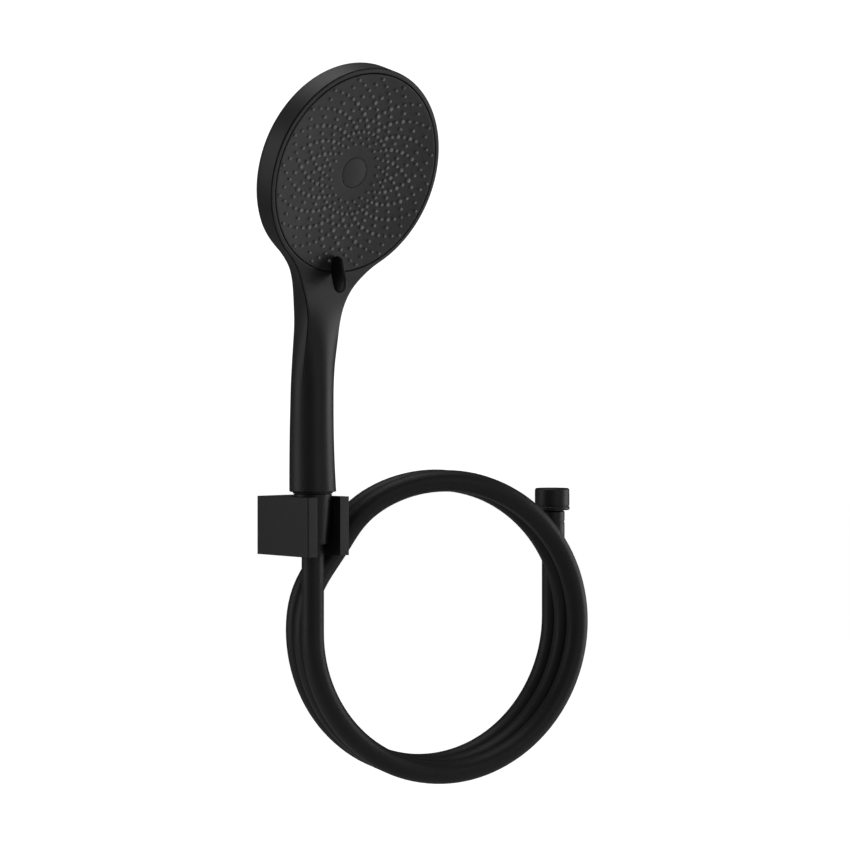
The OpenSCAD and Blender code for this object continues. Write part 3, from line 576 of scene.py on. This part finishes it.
def coated(name, shade_rgb, roughness, grain, depth, spread=0.08, pale=1.5, metallic=0.0, rings=0.0):
    """A coloured surface with drifting shade, grain in its roughness and height, and turned rings if asked.

    grain is the noise's scale per metre, depth the bump's height in mm, pale the factor of the paler shade.
    """
    material, tree, shader = principled(name)
    coords = tree.nodes.new("ShaderNodeTexCoord").outputs["Object"]
    drift = add(tree, "ShaderNodeGroup", node_tree=drift_group())
    tree.links.new(coords, drift.inputs["Vector"])
    drift.inputs["Shade"].default_value = (*shade_rgb, 1)
    drift.inputs["Pale shade"].default_value = (*[min(c * pale, 1.0) for c in shade_rgb], 1)
    tree.links.new(drift.outputs["Color"], shader.inputs["Base Color"])
    texture = add(tree, "ShaderNodeGroup", node_tree=grain_group())
    tree.links.new(coords, texture.inputs["Vector"])
    texture.inputs["Scale"].default_value = grain
    texture.inputs["Roughness"].default_value = roughness
    texture.inputs["Spread"].default_value = spread
    tree.links.new(texture.outputs["Roughness"], shader.inputs["Roughness"])
    height = texture.outputs["Height"]
    if rings:
        turned = add(tree, "ShaderNodeGroup", node_tree=turning_group())
        tree.links.new(coords, turned.inputs["Vector"])
        both = add(tree, "ShaderNodeMath", [(0, turned.outputs["Height"]), (1, rings), (2, height)],
                   operation="MULTIPLY_ADD")
        height = both.outputs[0]
    bump = add(tree, "ShaderNodeBump", [("Height", height), ("Strength", 1.0), ("Distance", depth * MM)])
    tree.links.new(bump.outputs["Normal"], shader.inputs["Normal"])
    shader.inputs["Metallic"].default_value = metallic
    return material


def finish(kind):
    """The material of one of the object's finishes, made once."""
    found = bpy.data.materials.get(kind)
    if found:
        return found
    c = bpy.context.scene.shower_finish
    lever_shade = tuple(0.62 * value for value in c.shell)
    steel, brass = (0.55, 0.55, 0.56), (0.66, 0.47, 0.2)
    natural, rubber = (0.68, 0.68, 0.65), (0.02, 0.02, 0.02)
    recipes = {
        "moulded_shell_black": dict(shade_rgb=c.shell, roughness=0.4, grain=2600.0, depth=0.012, spread=0.1),
        "spray_plate_black": dict(shade_rgb=c.plate, roughness=0.46, grain=2300.0, depth=0.012, spread=0.1),
        "powder_coat_black": dict(shade_rgb=c.holder, roughness=0.5, grain=1500.0, depth=0.02),
        "turned_black": dict(shade_rgb=c.fitting, roughness=0.42, grain=2200.0, depth=0.01, rings=0.6),
        "hose_skin_black": dict(shade_rgb=c.hose, roughness=0.45, grain=1100.0, depth=0.02, spread=0.1),
        "nozzle_silicone_grey": dict(
            shade_rgb=c.silicone, roughness=0.5, grain=2500.0, depth=0.006, pale=1.25),
        "inner_plastic_white": dict(shade_rgb=natural, roughness=0.45, grain=900.0, depth=0.01, pale=1.1),
        "stainless_steel": dict(
            shade_rgb=steel, roughness=0.3, grain=2600.0, depth=0.004, pale=1.12, metallic=1.0, rings=0.5),
        "turned_brass": dict(
            shade_rgb=brass, roughness=0.28, grain=2400.0, depth=0.004, pale=1.15, metallic=1.0, rings=0.7),
        "seal_rubber_black": dict(shade_rgb=rubber, roughness=0.66, grain=1600.0, depth=0.02),
        "lever_black": dict(shade_rgb=lever_shade, roughness=0.33, grain=2600.0, depth=0.01),
    }
    return coated(kind, **recipes[kind])


SLOT_FINISH = {
    "shell_black": "moulded_shell_black",
    "holder_black": "powder_coat_black",
    "fitting_black": "turned_black",
    "hose_black": "hose_skin_black",
    "nozzle_silicone": "nozzle_silicone_grey",
    "inner_plastic": "inner_plastic_white",
    "steel": "stainless_steel",
    "brass": "turned_brass",
    "seal_rubber": "seal_rubber_black",
}


# ---- Operators ----

class SHOWER_OT_stage(bpy.types.Operator):
    """Camera, pale floor and soft studio lights"""

    bl_idname = "shower.stage"
    bl_label = "Stage, lights and camera"

    def execute(self, context):
        scene = context.scene
        camera_data = bpy.data.cameras.new("camera")
        camera_data.lens = 77.7
        camera_data.sensor_width = 36
        camera_data.clip_end = 50
        camera = bpy.data.objects.new("camera", camera_data)
        camera.location = (-0.7568, -0.8889, 0.0636)
        camera.rotation_euler = (math.radians(90), 0, math.radians(-45))
        scene.collection.objects.link(camera)
        scene.camera = camera

        reach, level = 9.0, -0.42
        steps = np.linspace(-reach, reach, 13)
        x, y = np.meshgrid(steps, steps, indexing="ij")
        points = np.stack([x, y, np.full_like(x, level)], -1)
        floor = new_piece("studio_floor", points, quads(len(steps), len(steps)), weld=0)
        # the camera sees the floor as bright as the backdrop, while the object sees a plain pale floor
        material, tree, shader = principled("studio_floor_white")
        coords = tree.nodes.new("ShaderNodeTexCoord").outputs["Object"]
        tone = add(tree, "ShaderNodeTexNoise", [("Vector", coords), ("Scale", 3.0)])
        ramp = add(tree, "ShaderNodeMapRange", [(0, tone.outputs[0]), (3, 0.8), (4, 0.9)])
        tree.links.new(ramp.outputs[0], shader.inputs["Roughness"])
        shader.inputs["Base Color"].default_value = (0.75, 0.75, 0.75, 1)
        shader.inputs["Emission Color"].default_value = (1, 1, 1, 1)
        seen = tree.nodes.new("ShaderNodeLightPath").outputs["Is Camera Ray"]
        glow = add(tree, "ShaderNodeMath", [(0, seen), (1, 0.95)], operation="MULTIPLY")
        tree.links.new(glow.outputs[0], shader.inputs["Emission Strength"])
        floor.data.materials.append(material)

        for name, place, aim, size, power in (
                ("left_softbox", (-1.3, 0.85, 0.35), (0, -0.05, 0.1), (0.9, 1.5), 4.5),
                ("right_softbox", (1.35, -0.75, 0.05), (0.05, -0.05, 0.05), (0.9, 1.3), 7.5),
                ("top_softbox", (0.0, 0.1, 1.5), (0.05, -0.05, 0.1), (1.2, 1.2), 6),
                ("front_fill", (-0.35, -1.9, 0.5), (0.05, -0.05, 0.1), (1.2, 1.2), 2.6)):
            data = bpy.data.lights.new(name, "AREA")
            data.shape = "RECTANGLE"
            data.size, data.size_y = size
            data.energy = power
            lamp = bpy.data.objects.new(name, data)
            lamp.location = place
            way = Vector(aim) - Vector(place)
            lamp.rotation_euler = way.to_track_quat("-Z", "Y").to_euler()
            scene.collection.objects.link(lamp)

        # the camera sees a white backdrop, while the object gets little light from it
        world = bpy.data.worlds.new("studio_world")
        world.use_nodes = True
        tree = world.node_tree
        dim = tree.nodes["Background"]
        dim.inputs["Color"].default_value = (1, 1, 1, 1)
        dim.inputs["Strength"].default_value = 0.07
        bright = add(tree, "ShaderNodeBackground", [("Strength", 1.15)])
        bright.inputs["Color"].default_value = (1, 1, 1, 1)
        seen = tree.nodes.new("ShaderNodeLightPath").outputs["Is Camera Ray"]
        mix = add(tree, "ShaderNodeMixShader", [(0, seen), (1, dim.outputs[0]), (2, bright.outputs[0])])
        tree.links.new(mix.outputs[0], tree.nodes["World Output"].inputs["Surface"])
        scene.world = world
        scene.view_settings.view_transform = "Standard"
        return {"FINISHED"}


def hose_route(hose):
    """Coil and tail in mm: two and a half turns about a level axis, then straight up to the nut.

    The turns lie side by side: each half turn adds its own smooth step along the coil's axis. A bell-shaped
    sideways step carries the hose past the fork's corner.
    """
    corner_step, corner_z, corner_reach = 7.4, -15, 21
    r, pitch, yaw = hose.coil_r / MM, hose.coil_pitch / MM, hose.coil_yaw
    across = np.array([math.cos(yaw), -math.sin(yaw)])
    along = np.array([math.sin(yaw), math.cos(yaw)])
    turn = np.radians(np.arange(180, 1080, 3.0))
    turns = sum(step * smooth((turn - math.radians(begin)) / math.pi)
                for begin, step in ((360, 1.0), (540, 0.25), (720, 0.8), (900, 0.45)))
    level = hose.coil_z / MM + r * np.sin(turn)
    middle = np.array([0, -AXIS_OUT]) + r * across
    flat = middle + (r * np.cos(turn))[:, None] * across + (pitch * turns)[:, None] * along
    near = (np.cos(turn) < 0) & (turn > math.radians(400))
    flat[:, 0] += np.where(near, corner_step * np.exp(-((level - corner_z) / corner_reach) ** 2), 0)
    coil = np.column_stack([flat, level])
    end = middle + r * across + 2.5 * pitch * along
    rise = np.linspace(hose.coil_z / MM, HOSE_END_Z, 11)
    tail = np.column_stack([np.repeat(end[None], len(rise), axis=0), rise])
    return np.concatenate([coil, tail])


def swept_tube(name, path, radius, across, sides=24):
    """Circle of one radius carried along a path that starts straight down.

    Each ring is square to the path, and its first point stays on the side that is square to across as well.
    """
    ahead = np.gradient(path, axis=0)
    ahead[0] = (0, 0, -1)
    ahead /= np.linalg.norm(ahead, axis=1)[:, None]
    side = np.cross(ahead, across)
    side /= np.linalg.norm(side, axis=1)[:, None]
    other = np.cross(ahead, side)
    turn = np.linspace(0, 2 * math.pi, sides, endpoint=False)
    ring = path[:, None] + radius * (np.cos(turn)[None, :, None] * side[:, None]
                                     + np.sin(turn)[None, :, None] * other[:, None])
    rows = len(path)
    run = np.concatenate([[0], np.cumsum(np.linalg.norm(np.diff(path, axis=0), axis=1))])
    uv = np.stack(np.broadcast_arrays((turn * radius)[None, :] * MM, run[:, None] * MM), -1)
    faces = quads(rows, sides, wrap=True).tolist()
    faces.append(list(range(sides)))
    faces.append(list(range((rows - 1) * sides, rows * sides)))
    return new_piece(name, ring * MM, faces, crease_deg=50, uv=uv)


class SHOWER_OT_hose(bpy.types.Operator):
    """The free hose: a lead out of the conical nut, the hung coil and the tail up to the round nut"""

    bl_idname = "shower.hose"
    bl_label = "Hose"

    def execute(self, context):
        hose = context.scene.shower_hose
        across = np.array([math.sin(hose.coil_yaw), math.cos(hose.coil_yaw), 0.0])
        radius = hose.hose_d / MM / 2
        coil = swept_tube("hose_coiled", hose_route(hose), radius, across)
        finish_piece(coil, finish("hose_skin_black"), "hose_black", "holder", "hose_coil", "hose_tail")
        foot = hose.coil_z / MM
        fall = np.linspace(HOSE_TOP_Z, foot, 21)
        drop = np.column_stack([np.zeros_like(fall), np.full_like(fall, -AXIS_OUT), fall])
        lead = swept_tube("hose_lead", drop, radius, across)
        finish_piece(lead, finish("hose_skin_black"), "hose_black", None, "hose_drop")
        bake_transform(lead)
        return {"FINISHED"}


class SHOWER_OT_hose_end(bpy.types.Operator):
    """Crimped ferrule and round threaded nut on the hose's far end"""

    bl_idname = "shower.hose_end"
    bl_label = "Hose end"

    def execute(self, context):
        hose = context.scene.shower_hose
        end = hose_route(hose)[-1]
        centre = (end[0], end[1], 0.0)
        bore, crimp, waist, foot = 5.0, 8.5, 8.2, -22.7
        ferrule = filleted([
            (bore, HOSE_END_Z + 0.1, 0.1), (7.08, HOSE_END_Z + 0.1, 0.1), (7.08, foot, 0.15),
            (8.1, foot, 0.4), (crimp, -21.9, 0.4), (crimp, -19.2, 0.2), (waist, -18.9, 0.15),
            (waist, -18.1, 0.15), (crimp, -17.8, 0.2), (crimp, -4.0, 0.3), (waist, -3.6, 0.15),
            (waist, -2.8, 0.15), (crimp, -2.4, 0.3), (crimp, 3.6, 0.5), (7.6, 4.5, 0.4), (bore, 4.5, 0.1)])
        sleeve = lathe("end_ferrule_turned", ferrule, centre)
        finish_piece(sleeve, finish("turned_black"), "fitting_black", "holder", "end_ferrule")
        # the thread is four rings in the nut's mouth, above the washer's seat
        neck, seat, seat_z, base_z, top_z = 7.1, 10.2, 7.7, 4.8, 19.7
        thread = [(THREAD_R, 12.0, 0.1)]
        for z in (12.6, 14.3, 16.0, 17.7):
            thread += [(THREAD_R, z, 0.05), (THREAD_R - 0.45, z + 0.55, 0.15), (THREAD_R, z + 1.1, 0.05)]
        r = hose.end_nut_d / MM / 2
        outside = [
            (neck, base_z, 0.15), (r - 0.6, base_z, 0.45), (r, base_z + 0.6, 0.4), (r, 6.9, 0.35),
            (r - 0.5, 7.3, 0.2), (r - 0.5, 7.7, 0.15), (r - 0.15, 8.1, 0.3), (r - 0.15, 18.8, 0.7),
            (r - 0.95, top_z, 0.5), (10.5, top_z, 0.2), (THREAD_R, 19.2, 0.1)]
        inside = thread[::-1] + [(seat, 11.3, 0.1), (seat, seat_z, 0.1), (neck, seat_z, 0.1)]
        nut = lathe("end_nut_turned", filleted(outside + inside, 3), centre, 112)
        finish_piece(nut, finish("turned_black"), "fitting_black", "end_nut", "end_nut")
        return {"FINISHED"}


class SHOWER_OT_cone_nut(bpy.types.Operator):
    """Conical nut that hangs in the fork"""

    bl_idname = "shower.cone_nut"
    bl_label = "Conical nut"

    def execute(self, context):
        hose = context.scene.shower_hose
        top_r, foot_r = hose.cone_top_d / MM / 2, hose.cone_foot_d / MM / 2
        top_z, foot_z, seat_z = FOOT_Z - 1, CONE_FOOT_Z, 8.2
        hose_hole, bore, bore_z = 7.35, 8.2, -6
        outline = filleted([
            (hose_hole, foot_z, 0.3), (foot_r - 0.1, foot_z, 0.7), (foot_r + 0.06, foot_z + 1.0, 0.5),
            (top_r - 0.2, top_z - 2.4, 0.3), (top_r - 0.1, top_z - 0.2, 0.7), (THREAD_R, top_z, 0.3),
            (THREAD_R, seat_z, 0.1), (bore, seat_z, 0.1), (bore, bore_z, 0.1), (hose_hole, bore_z, 0.1)])
        nut = lathe("cone_nut_turned", outline, (0, -AXIS_OUT, 0), 112)
        finish_piece(nut, finish("turned_black"), "fitting_black", "handset", "cone_nut")
        return {"FINISHED"}


class SHOWER_OT_holder(bpy.types.Operator):
    """Square wall fork with softened edges"""

    bl_idname = "shower.holder"
    bl_label = "Wall fork"

    def execute(self, context):
        source = frame["nodes"]["holder_body"]
        mesh = source.data.copy()
        work = bmesh.new()
        work.from_mesh(mesh)
        bmesh.ops.remove_doubles(work, verts=work.verts, dist=1e-5)
        bmesh.ops.dissolve_limit(work, verts=work.verts, edges=work.edges, angle_limit=math.radians(1.5))
        work.to_mesh(mesh)
        work.free()
        mesh.polygons.foreach_set("use_smooth", np.ones(len(mesh.polygons), dtype=bool))
        mesh.set_sharp_from_angle(angle=math.radians(30))
        fork = bpy.data.objects.new("holder_fork", mesh)
        context.scene.collection.objects.link(fork)
        bevel = fork.modifiers.new("soft_edges", "BEVEL")
        bevel.width = 0.4 * MM
        bevel.segments = 3
        bevel.limit_method = "ANGLE"
        bevel.angle_limit = math.radians(40)
        bevel.harden_normals = True
        finish_piece(fork, finish("powder_coat_black"), "holder_black", "holder", "holder_body")
        return {"FINISHED"}


class SHOWER_OT_rear_shell(bpy.types.Operator):
    """Rear shell of the handset: handle back, side wall and dome"""

    bl_idname = "shower.rear_shell"
    bl_label = "Rear shell"

    def execute(self, context):
        form = HandsetForm()
        outer = rear_shell_grid(form, None)
        inner = rear_shell_grid(form, form.shell_t)
        points, faces = halves(outer, inner, [lambda g: g[:, 0], lambda g: g[0, :]])
        shell = new_piece("rear_shell_form", points, faces, 50)
        finish_piece(shell, finish("moulded_shell_black"), "shell_black", "handset", "rear_shell")
        return {"FINISHED"}


class SHOWER_OT_front_cover(bpy.types.Operator):
    """Front cover of the handset: handle front, neck and the ring around the spray disc"""

    bl_idname = "shower.front_cover"
    bl_label = "Front cover"

    def execute(self, context):
        form = HandsetForm()
        outer, first_head_row = front_cover_grid(form, None)
        inner, _ = front_cover_grid(form, form.shell_t)
        points, faces = halves(outer, inner, [
            lambda g: g[:, -1], lambda g: g[0, :], lambda g: g[first_head_row:, 0]])
        cover = new_piece("front_cover_form", points, faces, 50)
        finish_piece(cover, finish("moulded_shell_black"), "shell_black", "handset", "front_cover")
        return {"FINISHED"}


def dish(r):
    """Height of the spray face at a radius: a parabola from the dish depth at the centre up to nothing."""
    return -bpy.context.scene.shower_form.face_dish / MM * (1 - (r / DISC_R) ** 2)


class SHOWER_OT_spray_plate(bpy.types.Operator):
    """Dished spray plate with a rounded edge and a recess for the cap"""

    bl_idname = "shower.spray_plate"
    bl_label = "Spray plate"

    def execute(self, context):
        cap_r = context.scene.shower_form.cap_d / MM / 2
        centre, at_cap, near_edge = float(dish(0)), float(dish(cap_r)), DISC_R - 2
        back, recess, wall = centre - PLATE_T, centre - 1.1, cap_r + 0.12
        rim = filleted([(SCREW_HOLE_R, back, 0.05), (DISC_R, back, 0.3), (DISC_R, 0.0, 0.8),
                        (near_edge, float(dish(near_edge)), 0.1)], 5)
        r = np.linspace(DISC_R - 3, cap_r + 0.5, 40)
        face = np.column_stack([r, dish(r)])
        seat = filleted([(cap_r + 0.45, at_cap, 0.01), (wall, at_cap, 0.25), (wall, recess, 0.1),
                         (SCREW_HOLE_R, recess, 0.1)])
        plate = lathe("spray_face", np.concatenate([rim, face, seat]), None, 160, on_face, 40)
        finish_piece(plate, finish("spray_plate_black"), "shell_black", "spray_disc", "spray_plate")
        return {"FINISHED"}


class SHOWER_OT_nozzle_tips(bpy.types.Operator):
    """Soft nozzle tips in twelve rings, every other ring from the third twice as full.

    Tip i of ring k stands at radius first + step k and angle 90 + 360 (i / count + shift / 20) degrees.
    """

    bl_idname = "shower.nozzle_tips"
    bl_label = "Nozzle tips"

    def execute(self, context):
        form = context.scene.shower_form
        first, step, sparse = 18.4, 3.7, 20
        places, radii = [], []
        for k in range(12):
            full = k > 1 and k % 2 == 0
            count = 2 * sparse if full else sparse
            shift = 0.25 if full else 0.5 if k % 4 == 1 else 0.0
            turn = np.radians(90 + 360 * (np.arange(count) / count + shift / sparse))
            places.append((first + step * k) * np.column_stack([np.cos(turn), np.sin(turn)]))
            radii.append(np.full(count, 0.75 if k < 2 or k > 8 else 0.9 if full else 1.15))
        places, radii = np.concatenate(places), np.concatenate(radii)
        beside_lever = np.abs(places[:, 0]) < form.lever_t / MM / 2 + 2.4
        keep = ~(beside_lever & (places[:, 1] < -50))
        places, radii = places[keep], radii[keep]
        base = dish(np.hypot(places[:, 0], places[:, 1]))
        # a tip's outline from its foot below the plate to its rim and down into its bore, in shares
        profile_r = np.array([1.3, 1.24, 1.08, 0.9, 0.4, 0.32, 0.0])
        profile_z = np.array([-0.6, 0.02, 0.72, 1.0, 1.0, 0.7, 0.6]) * form.nozzle_stand / MM
        sides, rings = 10, len(profile_r)
        turn = np.linspace(0, 2 * math.pi, sides, endpoint=False)
        ring = np.stack([np.cos(turn), np.sin(turn)], -1)
        flat = places[:, None, None] + (radii[:, None, None] * profile_r[None, :, None])[..., None] * ring
        height = np.broadcast_to((base[:, None] + profile_z)[..., None], flat.shape[:-1])
        points = np.concatenate([flat, height[..., None]], -1)
        each = np.arange(len(places))[:, None, None] * rings * sides
        sleeves = (quads(rings, sides, wrap=True)[None] + each).reshape(-1, 4)
        feet = np.arange(sides)[None, :] + each[:, 0]
        tips = new_piece("nozzle_tips", on_face(points), sleeves.tolist() + feet.tolist(), 40)
        finish_piece(tips, finish("nozzle_silicone_grey"), "nozzle_silicone", "spray_disc", "nozzle_mat")
        return {"FINISHED"}


class SHOWER_OT_centre_cap(bpy.types.Operator):
    """Round cap over the centre screw"""

    bl_idname = "shower.centre_cap"
    bl_label = "Centre cap"

    def execute(self, context):
        r = context.scene.shower_form.cap_d / MM / 2
        z = float(dish(0))
        dome_r = np.linspace(r - 0.55, 0, 12)
        dome = np.column_stack([dome_r, z + 0.12 + 0.22 * (1 - (dome_r / r) ** 2)])
        back, steps = z - 1.05, 5
        edge = filleted([
            (0.01, back, 0.0), (r, back, 0.1), (r, z + 0.1, 0.45), (r - 0.5, z + 0.14, 0.05)], steps)
        cap = lathe("centre_cap_form", np.concatenate([edge[steps:], dome]), None, 96, on_face, 40)
        finish_piece(cap, finish("moulded_shell_black"), "shell_black", "spray_disc", "centre_cap")
        return {"FINISHED"}


class SHOWER_OT_mode_lever(bpy.types.Operator):
    """Oval blade that turns the spray disc.

    A slot outline stands upright across the face's edge: two half circles about its low and high centres and
    two straight sides. The columns are its stations; the rows draw it in while they cross the thickness.
    """

    bl_idname = "shower.mode_lever"
    bl_label = "Mode lever"

    def execute(self, context):
        form = context.scene.shower_form
        radius, half = form.lever_w / MM / 2, form.lever_t / MM / 2
        low, high = np.array([-57.0, 2.5]), np.array([-66.3, 9.76])
        way = (high - low) / np.linalg.norm(high - low)
        square = np.array([-way[1], way[0]])
        bend = np.radians(np.linspace(0, 180, 25))[:, None]
        step = np.linspace(0, 1, 22)[1:-1, None]
        spine = np.concatenate([
            np.repeat(high[None], len(bend), axis=0), high + (low - high) * step,
            np.repeat(low[None], len(bend), axis=0), low + (high - low) * step])
        out = np.concatenate([
            np.cos(bend) * square + np.sin(bend) * way, np.repeat(-square[None], len(step), axis=0),
            -np.cos(bend) * square - np.sin(bend) * way, np.repeat(square[None], len(step), axis=0)])
        roll = np.radians(np.linspace(0, 90, 8))
        inset = np.concatenate([radius * np.array([1, 0.66, 0.45]), half * (1 - np.sin(roll))])
        side = half * np.concatenate([[1.12, 1.1, 1.06], np.cos(roll)])
        inset = np.concatenate([inset, inset[-2::-1]])
        side = np.concatenate([side, -side[-2::-1]])
        yz = spine[None] + out[None] * (radius - inset)[:, None, None]
        x = np.broadcast_to(side[:, None], yz.shape[:-1])
        plate_edge, over_cover, in_plate = -61.7, 0.6, -2.2
        z = np.maximum(yz[..., 1], np.where(yz[..., 0] < plate_edge, over_cover, in_plate))
        points = on_face(np.stack([x, yz[..., 0], z], -1))
        lever = new_piece("mode_lever_form", points, quads(len(inset), len(spine), wrap=True), 40)
        finish_piece(lever, finish("lever_black"), "shell_black", "spray_disc", "mode_lever")
        return {"FINISHED"}


class SHOWER_OT_valve_spring(bpy.types.Operator):
    """Wound spring of the check valve, built at one length; it is not shortened here as the poppet lifts.

    The wire's centre is a helix: turn t stands at angle 2 pi t and height foot + (top - foot) t / turns.
    """

    bl_idname = "shower.valve_spring"
    bl_label = "Valve spring"

    def execute(self, context):
        r, wire, foot, top = 2.85, 0.3, 23.9, 31.7
        turns, stations, sides = 6, 24, 10
        t = np.linspace(0, turns, stations * turns + 1)[:, None]
        ring = np.linspace(0, 2 * math.pi, sides, endpoint=False)[None, :]
        out = r + wire * np.cos(ring)
        points = np.stack([
            out * np.cos(2 * math.pi * t), out * np.sin(2 * math.pi * t) - AXIS_OUT,
            foot + (top - foot) * t / turns + wire * np.sin(ring)], -1) * MM
        rows, cols = points.shape[:2]
        faces = quads(rows, cols, wrap=True).tolist()
        faces += [list(range(cols)), list(range((rows - 1) * cols, rows * cols))]
        spring = new_piece("valve_spring_wire", points, faces, 60)
        finish_piece(spring, finish("stainless_steel"), "steel", "handset", "check_valve_spring")
        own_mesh(spring)
        return {"FINISHED"}


class SHOWER_OT_inner_pieces(bpy.types.Operator):
    """Finishes of the pieces inside: seals, valve, water way, springs, screws and plates"""

    bl_idname = "shower.inner_pieces"
    bl_label = "Inner pieces"

    def execute(self, context):
        for part in frame["record"]["subparts"]:
            node = frame["nodes"].get(part["node"])
            if node is None:
                raise RuntimeError("no CAD node " + part["node"])
            material = finish(SLOT_FINISH[part["material_slot"]])
            if node.type == "MESH":
                node.data.materials.clear()
                node.data.materials.append(material)
        return {"FINISHED"}


class SHOWER_OT_declare_hose(bpy.types.Operator):
    """Works out the hose's route in metres; nothing is stated or kept from it."""

    bl_idname = "shower.declare_hose"
    bl_label = "Hose facts"

    def execute(self, context):
        hose = context.scene.shower_hose
        route = hose_route(hose) * MM
        return {"FINISHED"}


OPERATORS = (
    SHOWER_OT_stage, SHOWER_OT_hose, SHOWER_OT_hose_end, SHOWER_OT_cone_nut, SHOWER_OT_holder,
    SHOWER_OT_rear_shell, SHOWER_OT_front_cover, SHOWER_OT_spray_plate, SHOWER_OT_nozzle_tips,
    SHOWER_OT_centre_cap, SHOWER_OT_mode_lever, SHOWER_OT_valve_spring, SHOWER_OT_inner_pieces,
    SHOWER_OT_declare_hose)
GROUPS = (SHOWER_PG_form, SHOWER_PG_hose, SHOWER_PG_finish)


class SHOWER_PT_panel(bpy.types.Panel):
    """Lists the sizes, the colours and the steps"""

    bl_idname = "SHOWER_PT_panel"
    bl_label = "Hand shower"
    bl_space_type = "VIEW_3D"
    bl_region_type = "UI"
    bl_category = "Hand shower"

    def draw(self, context):
        for group in (context.scene.shower_form, context.scene.shower_hose, context.scene.shower_finish):
            box = self.layout.box()
            for name in group.bl_rna.properties.keys():
                if name not in ("rna_type", "name"):
                    box.prop(group, name)
        for operator in OPERATORS:
            self.layout.operator(operator.bl_idname)


def register():
    for cls in GROUPS + OPERATORS + (SHOWER_PT_panel,):
        bpy.utils.register_class(cls)
    bpy.types.Scene.shower_form = bpy.props.PointerProperty(type=SHOWER_PG_form)
    bpy.types.Scene.shower_hose = bpy.props.PointerProperty(type=SHOWER_PG_hose)
    bpy.types.Scene.shower_finish = bpy.props.PointerProperty(type=SHOWER_PG_finish)


def unregister():
    del bpy.types.Scene.shower_finish
    del bpy.types.Scene.shower_hose
    del bpy.types.Scene.shower_form
    for cls in reversed(GROUPS + OPERATORS + (SHOWER_PT_panel,)):
        bpy.utils.unregister_class(cls)


def main():
    register()
    for operator in OPERATORS:
        group, name = operator.bl_idname.split(".")
        getattr(getattr(bpy.ops, group), name)()


if __name__ == "__main__":
    main()
